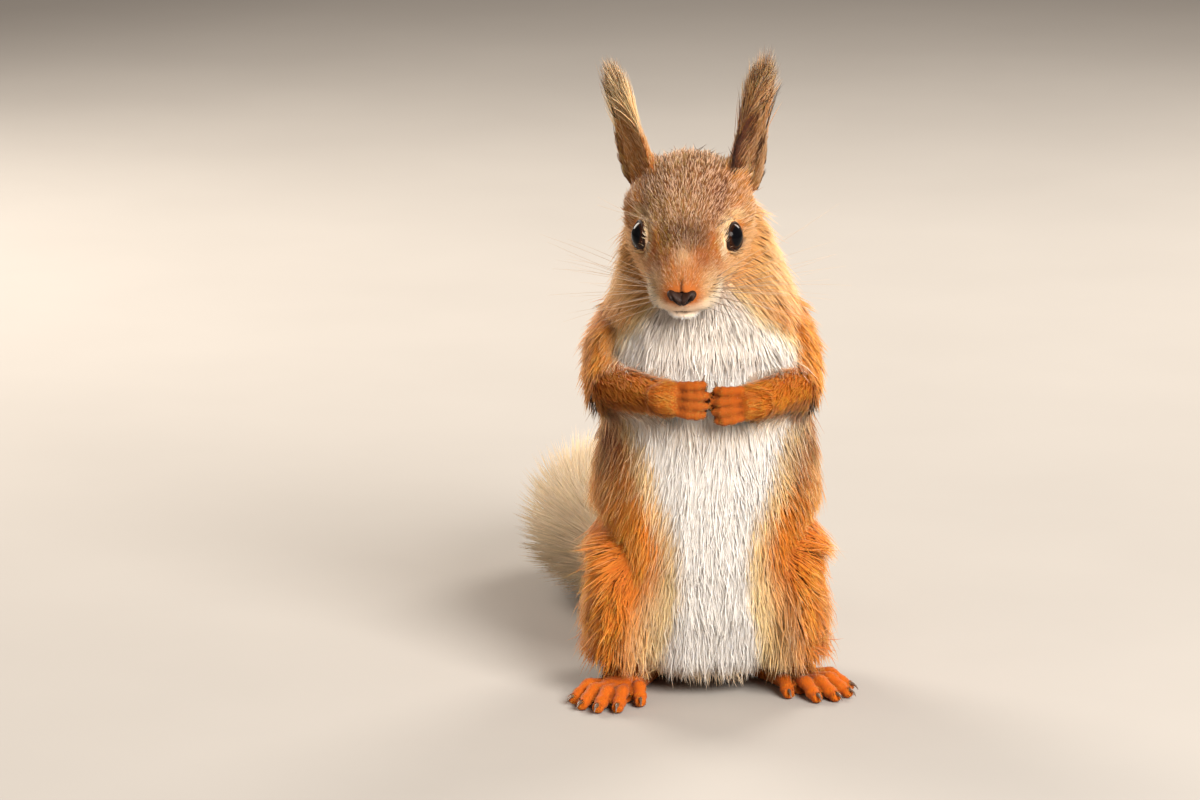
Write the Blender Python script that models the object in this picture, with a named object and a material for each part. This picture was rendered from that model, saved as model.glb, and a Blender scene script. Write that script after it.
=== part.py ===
"""Red squirrel sitting bolt upright, life size, as a still museum model.

Every solid follows the outside of the coat. Lengths below are in millimetres, in a frame whose
origin is on the floor under the spine: +X is the animal's left, +Y is behind it and +Z is up.
The last step moves the whole animal so that the origin is under the middle of its box.
"""

import math

import bmesh
import bpy
import numpy as np
from mathutils import Matrix, Vector

MM = 0.001
GAP = 0.3
SIDES = {"right": -1, "left": 1}

# Head pose: the point midway between the eyeballs, and how the head is turned there.
EYE_MIDPOINT = (-6.2, -26.0, 143.6)
HEAD_PITCH = 33.0
HEAD_YAW = -5.0

# Torso, in level sections: height, centre across, half width, front, back.
TORSO = (
    (4.0, 0.0, 17.0, -14.0, 24.0),
    (7.5, 0.0, 27.0, -23.5, 33.5),
    (17.0, 0.0, 33.0, -30.0, 39.5),
    (32.0, 0.0, 34.8, -33.5, 41.5),
    (48.0, 0.0, 34.8, -34.0, 39.5),
    (62.0, 0.2, 34.8, -32.5, 35.5),
    (76.0, 0.4, 34.0, -31.0, 31.5),
    (90.0, 0.2, 32.4, -31.0, 28.0),
    (102.0, -0.2, 31.4, -32.0, 25.0),
    (112.0, -0.6, 30.0, -32.0, 22.5),
    (119.0, -1.0, 27.6, -30.5, 20.5),
    (126.0, -1.4, 24.6, -29.0, 18.0),
    (134.0, -2.2, 22.2, -26.5, 14.8),
    (141.0, -3.0, 19.9, -23.0, 11.0),
    (148.0, -3.8, 17.2, -18.5, 6.8),
    (154.0, -4.4, 13.4, -13.5, 2.2),
    (158.0, -4.8, 8.0, -9.5, -2.0),
)
WAIST_Z = 64.0
SHOULDER_Z = 119.0

# Haunch of the left leg, in level sections: height, centre across, centre along, half width, half length.
HAUNCH = (
    (5.0, 22.0, 3.0, 6.5, 9.5),
    (9.4, 24.6, -0.2, 12.2, 21.5),
    (16.0, 26.6, -1.5, 14.2, 30.0),
    (28.0, 27.0, -1.5, 13.8, 33.0),
    (40.0, 26.4, -1.5, 12.8, 31.5),
    (50.0, 25.6, 0.0, 11.6, 26.5),
    (58.0, 24.8, 2.0, 9.6, 19.0),
    (64.0, 24.0, 3.5, 6.0, 11.0),
)

# Head, in sections square to its length: distance behind the eyes, half width, top, bottom, widest height.
HEAD = (
    (-25.2, 2.2, 0.2, -5.0, -2.4),
    (-24.2, 4.6, 1.6, -7.6, -3.0),
    (-21.8, 7.2, 3.4, -10.6, -4.0),
    (-18.0, 9.4, 5.4, -12.8, -5.4),
    (-13.0, 11.0, 7.8, -14.6, -6.6),
    (-8.0, 13.0, 10.2, -16.4, -7.6),
    (-3.0, 15.2, 12.4, -17.8, -8.4),
    (2.0, 17.2, 14.6, -18.8, -8.0),
    (8.0, 18.7, 16.2, -19.4, -6.4),
    (14.0, 19.0, 16.8, -19.2, -4.4),
    (20.0, 17.8, 15.8, -17.6, -2.6),
    (25.5, 14.6, 12.4, -14.0, -1.2),
    (29.5, 9.0, 7.2, -8.6, -0.6),
)
EYE_RADIUS = 4.8
EYE_OUT = 11.9
SOCKET_DEPTH = 0.9
NOSE = {"out": 3.3, "along": 2.4, "up": 2.2, "back": -24.4, "height": -1.4}

# Ear: where its root stands on each side of the head, then its leaf from root to tip as
# share of length, half width, thickness, depth of the cup.
EAR_ROOT = {"right": (14.4, 15.0, 4.0), "left": (16.4, 15.0, 4.0)}
EAR_LENGTH = 26.0
EAR_LEAF = (
    (0.0, 5.4, 3.8, 3.6),
    (0.2, 6.8, 3.4, 3.6),
    (0.42, 7.0, 3.0, 3.2),
    (0.62, 6.1, 2.8, 2.6),
    (0.8, 4.6, 2.6, 1.8),
    (0.93, 2.8, 2.2, 0.9),
    (1.0, 1.3, 1.6, 0.2),
)
# How each ear leans out and back, in world slopes, and how far its mouth turns forward.
EAR_LEAN = {"right": (0.245, 0.08), "left": (0.14, 0.10)}
EAR_TURN = {"right": 38.0, "left": 46.0}
# Ear tuft: height above the ear's root, half width along the leaf, half thickness.
EAR_TUFT = (
    (14.0, 4.4, 2.4),
    (20.0, 5.6, 3.3),
    (28.0, 6.4, 3.8),
    (35.0, 5.6, 3.2),
    (39.6, 3.6, 2.2),
)

# Arms: shoulder, middle and elbow, then elbow, middle and wrist, each with its radius.
# The right arm is carried a little higher than the left.
UPPER_ARM = {
    "right": ((-19.4, 1.0, 113.0, 12.0), (-25.4, -5.0, 105.0, 11.6), (-28.0, -12.5, 96.0, 9.4)),
    "left": ((18.2, 1.0, 113.0, 12.0), (23.2, -5.0, 104.5, 11.2), (25.8, -12.5, 95.5, 9.2)),
}
FOREARM = {
    "right": ((-27.4, -14.0, 96.2, 8.9), (-20.4, -25.6, 96.8, 7.2), (-13.6, -35.2, 96.4, 5.4)),
    "left": ((25.4, -14.0, 96.0, 8.7), (20.0, -25.2, 96.2, 7.5), (14.8, -34.4, 95.0, 5.8)),
}
# Hands: the way each points from the wrist, then its fingers from the top one down as
# start height, length, lift, and how far the last joint curls back to the chest.
HAND_AIM = {"right": (0.93, -0.30, -0.02), "left": (-0.92, -0.30, -0.06)}
PALM = ((-1.2, 5.4, 5.8), (1.2, 4.4, 5.9), (3.6, 3.6, 5.6), (5.2, 2.4, 4.8))
FINGERS = ((4.1, 6.8, 0.10, 0.9), (1.4, 7.7, 0.02, 1.0), (-1.3, 7.7, -0.03, 1.0), (-3.9, 6.9, -0.06, 1.0))
FINGER_RADIUS = 1.66

# Feet: the ball of each foot on the floor and its heading, outward from straight ahead.
FOOT_AT = {"right": (-26.4, -20.0, 21.0), "left": (28.4, -9.4, 36.0)}
FOOT = (
    (32.0, 3.4, 5.6),
    (28.0, 4.4, 7.6),
    (19.0, 5.0, 9.2),
    (9.0, 5.8, 9.8),
    (2.0, 6.9, 8.8),
    (-3.0, 7.2, 7.2),
    (-6.5, 6.0, 5.2),
)
# Toes from the inner one out: start across, start along, fan in degrees, length.
TOES = (
    (-5.6, 2.0, -24.0, 10.5),
    (-3.4, -3.0, -11.0, 13.6),
    (-0.3, -4.0, -1.0, 14.6),
    (2.9, -3.4, 9.0, 14.0),
    (5.4, 0.0, 20.0, 12.6),
)
TOE_RADIUS = 2.25
CLAW_LENGTH = {"hand": 3.0, "foot": 4.2}
CLAW_RADIUS = {"hand": 0.6, "foot": 0.8}

# Tail, from the rump to its tip: where it runs and the radius of its brush.
TAIL = (
    (3.0, 24.0, 15.0, 10.0),
    (-4.0, 43.0, 13.6, 13.8),
    (-14.0, 62.0, 15.4, 16.2),
    (-25.0, 80.0, 17.6, 18.6),
    (-33.5, 98.0, 19.6, 20.2),
    (-37.0, 115.0, 22.0, 20.6),
    (-35.0, 131.5, 24.6, 19.4),
    (-28.5, 146.5, 27.4, 16.6),
    (-20.5, 158.0, 30.0, 12.0),
    (-15.5, 165.0, 32.0, 6.4),
)
TAIL_CUTS = (0, 3, 6, 9)
FLOOR_FLAT = 0.0

COLOURS = {
    "russet_fur": (0.47, 0.19, 0.055),
    "grey_brown_fur": (0.36, 0.17, 0.09),
    "white_fur": (0.84, 0.72, 0.62),
    "orange_fur": (0.58, 0.19, 0.03),
    "dark_fur": (0.19, 0.07, 0.03),
    "cream_fur": (0.66, 0.42, 0.24),
    "nose_skin": (0.045, 0.02, 0.012),
    "eye_dark": (0.004, 0.003, 0.003),
    "claw_horn": (0.07, 0.045, 0.03),
}
ROUGHNESS = {"nose_skin": 0.45, "eye_dark": 0.04, "claw_horn": 0.35}
FUR_ROUGHNESS = 0.85


def clear_scene():
    for obj in list(bpy.data.objects):
        bpy.data.objects.remove(obj, do_unlink=True)


def material(name):
    made = bpy.data.materials.get(name)
    if made is None:
        made = bpy.data.materials.new(name)
        made.use_nodes = True
        shader = made.node_tree.nodes["Principled BSDF"]
        shader.inputs["Base Color"].default_value = (*COLOURS[name], 1.0)
        shader.inputs["Roughness"].default_value = ROUGHNESS.get(name, FUR_ROUGHNESS)
        shader.inputs["Metallic"].default_value = 0.0
    return made


def smooth_rows(rows, steps):
    """A Catmull-Rom curve through the rows, with this many steps from each row to the next."""
    known = np.array(rows, float)
    known = np.vstack([2 * known[0] - known[1], known, 2 * known[-1] - known[-2]])
    found = []
    for i in range(1, len(known) - 2):
        before, here, there, after = known[i - 1 : i + 3]
        for k in range(steps):
            t = k / steps
            found.append(
                here
                + 0.5 * t * (there - before)
                + 0.5 * t**2 * (2 * before - 5 * here + 4 * there - after)
                + 0.5 * t**3 * (3 * here - before - 3 * there + after)
            )
    found.append(known[-2])
    return found


def oval(centre, across, up, half_width, top, bottom, sides, square=2.0):
    """A closed ring of points. Its upper and lower halves may differ, and square over 2 fills its corners."""
    points = []
    for k in range(sides):
        angle = 2 * math.pi * (k + 0.5) / sides
        c, s = math.cos(angle), math.sin(angle)
        x = math.copysign(abs(c) ** (2 / square), c) * half_width
        y = math.copysign(abs(s) ** (2 / square), s) * (top if s > 0 else bottom)
        points.append(Vector(centre) + Vector(across) * x + Vector(up) * y)
    return points


def loft(name, rings, finish, parent, floor=None):
    """One closed body through the rings, with a pole in the middle of each end."""
    bm = bmesh.new()
    placed = []
    for ring in rings:
        corners = []
        for point in ring:
            z = point.z if floor is None else max(point.z, floor)
            corners.append(bm.verts.new((point.x * MM, point.y * MM, z * MM)))
        placed.append(corners)
    count = len(placed[0])
    for low, high in zip(placed, placed[1:]):
        for k in range(count):
            j = (k + 1) % count
            bm.faces.new((low[k], low[j], high[j], high[k]))
    for ring, order in ((placed[0], -1), (placed[-1], 1)):
        middle = sum((v.co for v in ring), Vector()) / count
        pole = bm.verts.new(middle)
        for k in range(count):
            pair = (ring[k], ring[(k + 1) % count])
            bm.faces.new((pole, *pair[::order]))
    bmesh.ops.recalc_face_normals(bm, faces=bm.faces)
    mesh = bpy.data.meshes.new(name)
    bm.to_mesh(mesh)
    bm.free()
    return added(name, mesh, finish, parent)


def added(name, mesh, finish, parent):
    obj = bpy.data.objects.new(name, mesh)
    bpy.context.scene.collection.objects.link(obj)
    obj.parent = parent
    mesh.materials.append(material(finish))
    mesh.shade_smooth()
    return obj


def dome(end, inner):
    """Two rows that round off the end of a tube: x, y, z, radius across, radius up."""
    out = (end[:3] - inner[:3]) / np.linalg.norm(end[:3] - inner[:3])
    rows = []
    for angle in (35, 65):
        share = math.cos(math.radians(angle))
        reach = math.sin(math.radians(angle)) * end[3]
        rows.append(np.array([*(end[:3] + out * reach), *(end[3:] * share)]))
    return rows


def tube(name, rows, sides, finish, parent, up=(0, 0, 1), floor=None, domed=(True, True), square=2.0):
    """A round or oval limb along the rows: x, y, z, radius across and, if given, radius up."""
    rows = [np.array([*row, row[3]] if len(row) == 4 else row, float) for row in rows]
    near = dome(rows[0], rows[1])[::-1] if domed[0] else []
    far = dome(rows[-1], rows[-2]) if domed[1] else []
    rows = near + rows + far
    rings = []
    for i, row in enumerate(rows):
        ahead, behind = rows[min(i + 1, len(rows) - 1)], rows[max(i - 1, 0)]
        along = Vector(ahead[:3] - behind[:3]).normalized()
        across = along.cross(Vector(up)).normalized()
        above = across.cross(along).normalized()
        rings.append(oval(row[:3], across, above, row[3], row[4], row[4], sides, square))
    return loft(name, rings, finish, parent, floor)


def level_rings(rows, sides, square):
    """Level sections of the haunch or torso: height, x, y, half width, half length in front, half length behind."""
    return [
        oval((x, y, z), (1, 0, 0), (0, 1, 0), wide, back, front, sides, square)
        for z, x, y, wide, front, back in rows
    ]


def cutter_of(obj, gap=GAP):
    """A hidden copy of a body, grown by the gap, that cuts room for it out of its neighbours."""
    mesh = obj.data.copy()
    bm = bmesh.new()
    bm.from_mesh(mesh)
    bm.normal_update()
    for vertex, normal in [(v, v.normal.copy()) for v in bm.verts]:
        vertex.co += normal * gap * MM
    bm.to_mesh(mesh)
    bm.free()
    copy = bpy.data.objects.new("room_for_" + obj.name, mesh)
    bpy.context.scene.collection.objects.link(copy)
    copy.parent = obj.parent
    copy.hide_render = True
    copy.display_type = "WIRE"
    return copy


def boolean(obj, other, operation):
    modifier = obj.modifiers.new(f"{operation.lower()}_{other.name}", "BOOLEAN")
    modifier.operation = operation
    modifier.solver = "EXACT"
    modifier.object = other


def carve(obj, *cutters):
    for cutter in cutters:
        boolean(obj, cutter, "DIFFERENCE")


def helper(obj):
    obj.hide_render = True
    obj.display_type = "WIRE"
    return obj


def empty(name, matrix, parent=None):
    obj = bpy.data.objects.new(name, None)
    bpy.context.scene.collection.objects.link(obj)
    obj.parent = parent
    obj.matrix_local = matrix
    return obj


def placed_at(x, y, z):
    return Matrix.Translation(Vector((x, y, z)) * MM)


def turned(degrees, axis):
    return Matrix.Rotation(math.radians(degrees), 4, axis)


def torso_between(name, low, high, finish, squirrel):
    """One length of the torso, cut level at both ends."""
    rows = np.array(smooth_rows(TORSO, 1))
    heights = [low, *[z for z in rows[:, 0] if low + 1.5 < z < high - 1.5], high]
    sections = []
    for z in heights:
        x, wide, front, back = (np.interp(z, rows[:, 0], rows[:, k]) for k in (1, 2, 3, 4))
        middle = 0.45 * front + 0.55 * back
        sections.append((z, x, middle, wide, middle - front, back - middle))
    return loft(name, level_rings(sections, 16, 2.15), finish, squirrel)


def haunch(side, squirrel):
    sign = SIDES[side]
    sections = [(z, sign * x, y, wide, long, long) for z, x, y, wide, long in smooth_rows(HAUNCH, 1)]
    return loft(f"thigh_{side}", level_rings(sections, 16, 2.2), "russet_fur", squirrel)


def head_body(head_frame):
    rings = []
    for back, wide, top, bottom, middle in smooth_rows(HEAD, 1):
        rings.append(
            oval((0, back, middle), (1, 0, 0), (0, 0, 1), wide, top - middle, middle - bottom, 18, 2.1)
        )
    return loft("head", rings, "grey_brown_fur", head_frame)


def eyeball(side, head_frame, radius=EYE_RADIUS):
    mesh = bpy.data.meshes.new(f"eye_{side}")
    bm = bmesh.new()
    bmesh.ops.create_uvsphere(bm, u_segments=12, v_segments=8, radius=radius * MM)
    bmesh.ops.translate(bm, vec=Vector((SIDES[side] * EYE_OUT, 0, 0)) * MM, verts=bm.verts)
    bm.to_mesh(mesh)
    bm.free()
    return added(f"eye_{side}", mesh, "eye_dark", head_frame)


def nose_pad(head_frame):
    rows = [(0, NOSE["back"] - NOSE["along"] * s, NOSE["height"], NOSE["out"] * w, NOSE["up"] * w)
            for s, w in ((-1.0, 0.9), (-0.3, 1.0), (0.3, 0.86), (0.62, 0.55))]
    return tube("nose", rows, 10, "nose_skin", head_frame, domed=(False, False))


def head_pose():
    return placed_at(*EYE_MIDPOINT) @ turned(HEAD_YAW, "Z") @ turned(HEAD_PITCH, "X")


def ear_frame(side, squirrel):
    """Where an ear stands: its own z runs up the leaf and its own x comes out of its mouth."""
    sign = SIDES[side]
    out, back = EAR_LEAN[side]
    up = Vector((sign * out, back, 1)).normalized()
    turn = math.radians(EAR_TURN[side])
    mouth = Vector((sign * math.cos(turn), -math.sin(turn), 0))
    mouth = (mouth - up * mouth.dot(up)).normalized()
    across, *behind_and_up = EAR_ROOT[side]
    root = head_pose() @ (Vector((sign * across, *behind_and_up)) * MM)
    basis = Matrix((mouth, up.cross(mouth), up)).transposed().to_4x4()
    return empty(f"ear_frame_{side}", Matrix.Translation(root) @ basis, squirrel)


def ear_leaf(side, frame):
    """A cupped leaf: each section is a crescent, hollow towards the ear's mouth."""
    steps = 7
    rings = []
    for share, wide, thick, cup in smooth_rows(EAR_LEAF, 1):
        back_wall, front_wall = [], []
        for k in range(steps + 1):
            u = -math.cos(math.pi * k / steps)
            bow = -cup * (1 - u * u)
            half = 0.5 * thick * math.sqrt(1.08 - u * u)
            back_wall.append(Vector((bow - half, wide * u, share * EAR_LENGTH)))
            front_wall.append(Vector((bow + half, wide * u, share * EAR_LENGTH)))
        rings.append(back_wall + front_wall[::-1])
    return loft(f"ear_{side}", rings, "dark_fur", frame)


def ear_tuft(side, frame):
    rows = [(0, 0, z, wide, thick) for z, wide, thick in smooth_rows(EAR_TUFT, 1)]
    return tube(f"ear_tuft_{side}", rows, 8, "dark_fur", frame, up=(1, 0, 0))


def claw(name, at, along, down, kind, parent):
    """A hooked claw that leaves its toe along one way and bends towards the other."""
    length, radius = CLAW_LENGTH[kind], CLAW_RADIUS[kind]
    at, along, down = Vector(at), Vector(along).normalized(), Vector(down).normalized()
    rows = []
    for share in (0.0, 0.5, 1.0):
        place = at + along * length * share * (1 - 0.25 * share) + down * length * 0.5 * share**2
        rows.append((*place, radius * (1 - 0.62 * share), radius * (1.25 - 0.87 * share)))
    return helper(tube(name, rows, 5, "claw_horn", parent, up=-down, domed=(False, False)))


def join_up(body, grown):
    """Joins fingers or toes and their claws to their palm or sole. Returns the room the palm or sole needs."""
    room = cutter_of(body)
    for piece in grown:
        boolean(body, piece, "UNION")
    return room


def hand(side, squirrel):
    """Palm and four fingers in one body, with a claw at each fingertip."""
    wrist = Vector(FOREARM[side][-1][:3])
    aim = Vector(HAND_AIM[side]).normalized()
    chest = Vector((0, 1, 0))
    chest = (chest - aim * chest.dot(aim)).normalized()
    top = aim.cross(chest) * (1 if aim.cross(chest).z > 0 else -1)
    rows = [(*(wrist + aim * reach), thick, tall) for reach, thick, tall in PALM]
    palm = tube(f"hand_{side}", rows, 10, "orange_fur", squirrel, up=top, square=2.3)
    grown = []
    for k, (height, length, lift, curl) in enumerate(FINGERS):
        start = wrist + aim * 5.0 + top * height
        way = (aim + top * lift).normalized()
        knuckle = start + way * length * 0.5 - chest * 0.9
        middle = knuckle + way * length * 0.34 + chest * 0.5 * curl
        tip = middle + (way * 0.62 + chest * 0.78 * curl).normalized() * length * 0.3
        r = FINGER_RADIUS
        path = [(*start, r), (*knuckle, r * 1.05), (*middle, r * 0.98), (*tip, r * 0.86)]
        finger = helper(tube(f"finger_{side}_{k + 1}", path, 6, "orange_fur", squirrel, up=top))
        out = (tip - middle).normalized()
        nail = claw(f"claw_hand_{side}_{k + 1}", tip + top * 0.3 * r, top + out * 0.2, chest, "hand", squirrel)
        grown += [finger, nail]
    return join_up(palm, grown)


def foot(side, squirrel):
    """Sole, instep and five toes in one body, flat where it meets the floor, with a claw at each toe."""
    sign = SIDES[side]
    x, y, heading = FOOT_AT[side]
    frame = empty(f"foot_frame_{side}", placed_at(x, y, 0) @ turned(sign * heading, "Z"), squirrel)
    rings = []
    for back, wide, tall in smooth_rows(FOOT, 1):
        low = 0.42 * tall
        rings.append(oval((0, back, low - 0.5), (sign, 0, 0), (0, 0, 1), wide, tall - low, low, 12, 2.3))
    body = loft(f"foot_{side}", rings, "orange_fur", frame, floor=FLOOR_FLAT)
    grown = []
    for k, (across, along, fan, length) in enumerate(TOES):
        angle = math.radians(fan)
        way = Vector((sign * math.sin(angle), -math.cos(angle), 0))
        start = Vector((sign * across, along, 3.6))
        knuckle = start + way * length * 0.48 + Vector((0, 0, 1.0))
        joint = start + way * length * 0.8 - Vector((0, 0, 0.9))
        tip = start + way * length - Vector((0, 0, 1.8))
        r = TOE_RADIUS
        path = [(*start, r), (*knuckle, r * 1.04), (*joint, r * 0.98), (*tip, r * 0.82)]
        toe = helper(tube(f"toe_{side}_{k + 1}", path, 6, "orange_fur", frame, floor=FLOOR_FLAT))
        nail = claw(f"claw_foot_{side}_{k + 1}", tip + way * r * 0.2 + Vector((0, 0, 0.9)),
                    way + Vector((0, 0, 0.18)), (0, 0, -1), "foot", frame)
        grown += [toe, nail]
    return join_up(body, grown)


def tail_length(name, first, last, finish, squirrel):
    """One length of the tail's brush. Its inner ends are cut square, half the gap short of the next."""
    rows = smooth_rows(TAIL, 1)
    part = [row.copy() for row in rows[first : last + 1]]
    if first:
        way = part[1][:3] - part[0][:3]
        part[0][:3] += GAP * way / np.linalg.norm(way)
    rings = []
    for i, row in enumerate(part):
        k = first + i
        step = rows[min(k + 1, len(rows) - 1)][:3] - rows[max(k - 1, 0)][:3]
        along = Vector(step).normalized()
        across = along.cross(Vector((0, 0, 1))).normalized()
        rings.append(oval(row[:3], across, across.cross(along), row[3], row[3], row[3], 16, 2.0))
    if last == len(TAIL) - 1:
        end, before = part[-1], part[-2]
        out = Vector(end[:3] - before[:3]).normalized()
        across = out.cross(Vector((0, 0, 1))).normalized()
        tip = Vector(end[:3]) + out * end[3] * 0.7
        rings.append(oval(tip, across, across.cross(out), end[3] * 0.5, end[3] * 0.5, end[3] * 0.5, 16, 2.0))
    return loft(name, rings, finish, squirrel, floor=FLOOR_FLAT)


def build_head(squirrel):
    head_frame = empty("head_frame", head_pose(), squirrel)
    head = head_body(head_frame)
    room = cutter_of(head)
    nose = nose_pad(head_frame)
    carve(head, cutter_of(nose))
    for side in SIDES:
        eye = eyeball(side, head_frame)
        carve(head, cutter_of(eye, SOCKET_DEPTH))
        frame = ear_frame(side, squirrel)
        ear = ear_leaf(side, frame)
        ear_room = cutter_of(ear)
        carve(head, ear_room)
        carve(ear_tuft(side, frame), ear_room, room)
    return room


def build_limbs(squirrel):
    """The arms and legs. Returns the room that the upper arms, whole arms, thighs and feet need in the torso."""
    shoulder_room, arm_room, thigh_room, foot_rooms = [], [], [], []
    for side in SIDES:
        upper = tube(f"upper_arm_{side}", smooth_rows(UPPER_ARM[side], 2), 14, "russet_fur", squirrel, up=(0, 1, 0))
        fore = tube(f"forearm_{side}", smooth_rows(FOREARM[side], 2), 12, "orange_fur", squirrel, domed=(True, False))
        hand_room = hand(side, squirrel)
        fore_room = cutter_of(fore)
        carve(fore, hand_room)
        carve(upper, fore_room)
        upper_room = cutter_of(upper)
        shoulder_room.append(upper_room)
        arm_room += [upper_room, fore_room, hand_room]
        thigh = haunch(side, squirrel)
        foot_room = foot(side, squirrel)
        carve(thigh, foot_room)
        thigh_room.append(cutter_of(thigh))
        foot_rooms.append(foot_room)
    return shoulder_room, arm_room, thigh_room, foot_rooms


def build_torso(squirrel, head_room, shoulder_room, arm_room, thigh_room, foot_rooms):
    belly = torso_between("belly", TORSO[0][0], WAIST_Z, "white_fur", squirrel)
    chest = torso_between("chest", WAIST_Z + GAP, SHOULDER_Z, "russet_fur", squirrel)
    neck = torso_between("neck", SHOULDER_Z + GAP, TORSO[-1][0], "russet_fur", squirrel)
    carve(belly, *foot_rooms, *thigh_room)
    carve(chest, *arm_room)
    carve(neck, head_room, *shoulder_room)
    return belly


def build_tail(squirrel, belly):
    finishes = ("russet_fur", "cream_fur", "cream_fur")
    names = ("tail_base", "tail_middle", "tail_tip")
    for name, finish, first, last in zip(names, finishes, TAIL_CUTS, TAIL_CUTS[1:]):
        length = tail_length(name, first, last, finish, squirrel)
        if first == 0:
            carve(length, cutter_of(belly))


def centre_on_floor(squirrel):
    """Moves the animal so that the origin is under the middle of its box."""
    bpy.context.view_layer.update()
    graph = bpy.context.evaluated_depsgraph_get()
    corners = []
    for obj in bpy.data.objects:
        if obj.type == "MESH" and not obj.hide_render:
            shaped = obj.evaluated_get(graph)
            corners += [shaped.matrix_world @ vertex.co for vertex in shaped.data.vertices]
    low = [min(c[k] for c in corners) for k in range(3)]
    high = [max(c[k] for c in corners) for k in range(3)]
    squirrel.location = (-(low[0] + high[0]) / 2, -(low[1] + high[1]) / 2, -low[2])


def main():
    clear_scene()
    squirrel = empty("squirrel", Matrix.Identity(4))
    head_room = build_head(squirrel)
    limb_rooms = build_limbs(squirrel)
    belly = build_torso(squirrel, head_room, *limb_rooms)
    build_tail(squirrel, belly)
    centre_on_floor(squirrel)


main()
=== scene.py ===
"""A red squirrel that stands upright with its hands held together, as a museum would show it.

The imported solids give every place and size. One skin replaces the solids of flesh and lies inside them by
the coat's depth. Over it lies a coat of solid locks that follow the lie of the fur. The eyes, lids, nose,
claws and whiskers are pieces of their own.

Lengths are in millimetres in the animal's own frame: x towards its left, y towards its back, z up from the
ground. The head has a frame of its own, with the nose towards -y and the same x and z when it isn't tilted.
"""

import math
from collections import namedtuple

import bmesh
import bpy
import numpy as np
from mathutils import Matrix, Vector
from mathutils.bvhtree import BVHTree
from mathutils.kdtree import KDTree


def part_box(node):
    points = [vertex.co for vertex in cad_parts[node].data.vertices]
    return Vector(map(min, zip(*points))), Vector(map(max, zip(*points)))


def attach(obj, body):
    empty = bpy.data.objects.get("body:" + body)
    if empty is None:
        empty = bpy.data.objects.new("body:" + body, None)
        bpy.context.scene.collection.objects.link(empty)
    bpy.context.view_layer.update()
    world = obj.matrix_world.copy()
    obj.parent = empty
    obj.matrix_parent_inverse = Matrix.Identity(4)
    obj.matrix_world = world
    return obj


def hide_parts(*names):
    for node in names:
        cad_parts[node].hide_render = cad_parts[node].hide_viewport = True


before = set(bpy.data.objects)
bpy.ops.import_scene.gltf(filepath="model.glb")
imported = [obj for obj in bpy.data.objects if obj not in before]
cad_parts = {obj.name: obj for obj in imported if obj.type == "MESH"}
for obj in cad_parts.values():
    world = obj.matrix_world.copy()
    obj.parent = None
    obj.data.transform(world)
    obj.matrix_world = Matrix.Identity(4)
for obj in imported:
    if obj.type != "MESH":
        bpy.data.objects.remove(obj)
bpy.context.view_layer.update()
MM = 0.001

# ---------------------------------------------------------------- named sizes, as the solids have them
EYE_MIDPOINT = Vector((-6.2, -26.0, 143.6))
HEAD_PITCH = 33.0
HEAD_YAW = -5.0
NOSE_BACK = -24.4
NOSE_HEIGHT = -1.4

SIDES = {"left": 1, "right": -1}
EAR_ROOT = {"right": (14.4, 15.0, 4.0), "left": (16.4, 15.0, 4.0)}
EAR_LEAN = {"right": (0.245, 0.08), "left": (0.14, 0.10)}
EAR_TURN = {"right": 38.0, "left": 46.0}

UPPER_ARM = {"right": ((-19.4, 1.0, 113.0), (-28.0, -12.5, 96.0)),
             "left": ((18.2, 1.0, 113.0), (25.8, -12.5, 95.5))}
FOREARM = {"right": ((-27.4, -14.0, 96.2), (-13.6, -35.2, 96.4)),
           "left": ((25.4, -14.0, 96.0), (14.8, -34.4, 95.0))}
HAND_AIM = {"right": (0.93, -0.30, -0.02), "left": (-0.92, -0.30, -0.06)}
PALM_REACH = 5.0
FINGERS = ((4.1, 6.8, 0.10, 0.9), (1.4, 7.7, 0.02, 1.0), (-1.3, 7.7, -0.03, 1.0), (-3.9, 6.9, -0.06, 1.0))
FINGER_RADIUS = 1.66

FOOT_AT = {"right": (-26.4, -20.0, 21.0), "left": (28.4, -9.4, 36.0)}
TOES = ((-5.6, 2.0, -24.0, 10.5), (-3.4, -3.0, -11.0, 13.6), (-0.3, -4.0, -1.0, 14.6),
        (2.9, -3.4, 9.0, 14.0), (5.4, 0.0, 20.0, 12.6))
TOE_RADIUS = 2.25
TOE_HEIGHT = 3.6
TOE_ARCH = ((0, 0), (0.48, 1.0), (0.8, -0.9), (1, -1.8))    # share of a toe's length, and the rise there
CLAW_LENGTH = {"hand": 3.0, "foot": 4.2}
CLAW_RADIUS = {"hand": 0.6, "foot": 0.8}

TAIL = np.array([(3, 24, 15, 10), (-4, 43, 13.6, 13.8), (-14, 62, 15.4, 16.2), (-25, 80, 17.6, 18.6),
                 (-33.5, 98, 19.6, 20.2), (-37, 115, 22, 20.6), (-35, 131.5, 24.6, 19.4),
                 (-28.5, 146.5, 27.4, 16.6), (-20.5, 158, 30, 12), (-15.5, 165, 32, 6.4)], float)
TAIL_CORE = ((0, 6.4), (1, 5.2), (2, 4.6), (4, 4.0), (6, 3.2), (7.3, 1.6))   # place along TAIL, radius

FLESH = ["head", "neck", "chest", "belly", "tail_base", "tail_middle", "tail_tip"] + [
    f"{part}_{side}" for part in ("ear", "upper_arm", "forearm", "hand", "thigh", "foot") for side in SIDES]
KINDS = ["head", "neck", "chest", "belly", "tail", "ear", "upper_arm", "forearm", "hand", "thigh", "foot"]


# ---------------------------------------------------------------- places and small sums
def box_middle(node):
    """The middle of a solid's box, in millimetres of the shared frame."""
    low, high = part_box(node)
    return (low + high) / 2 / MM


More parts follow.
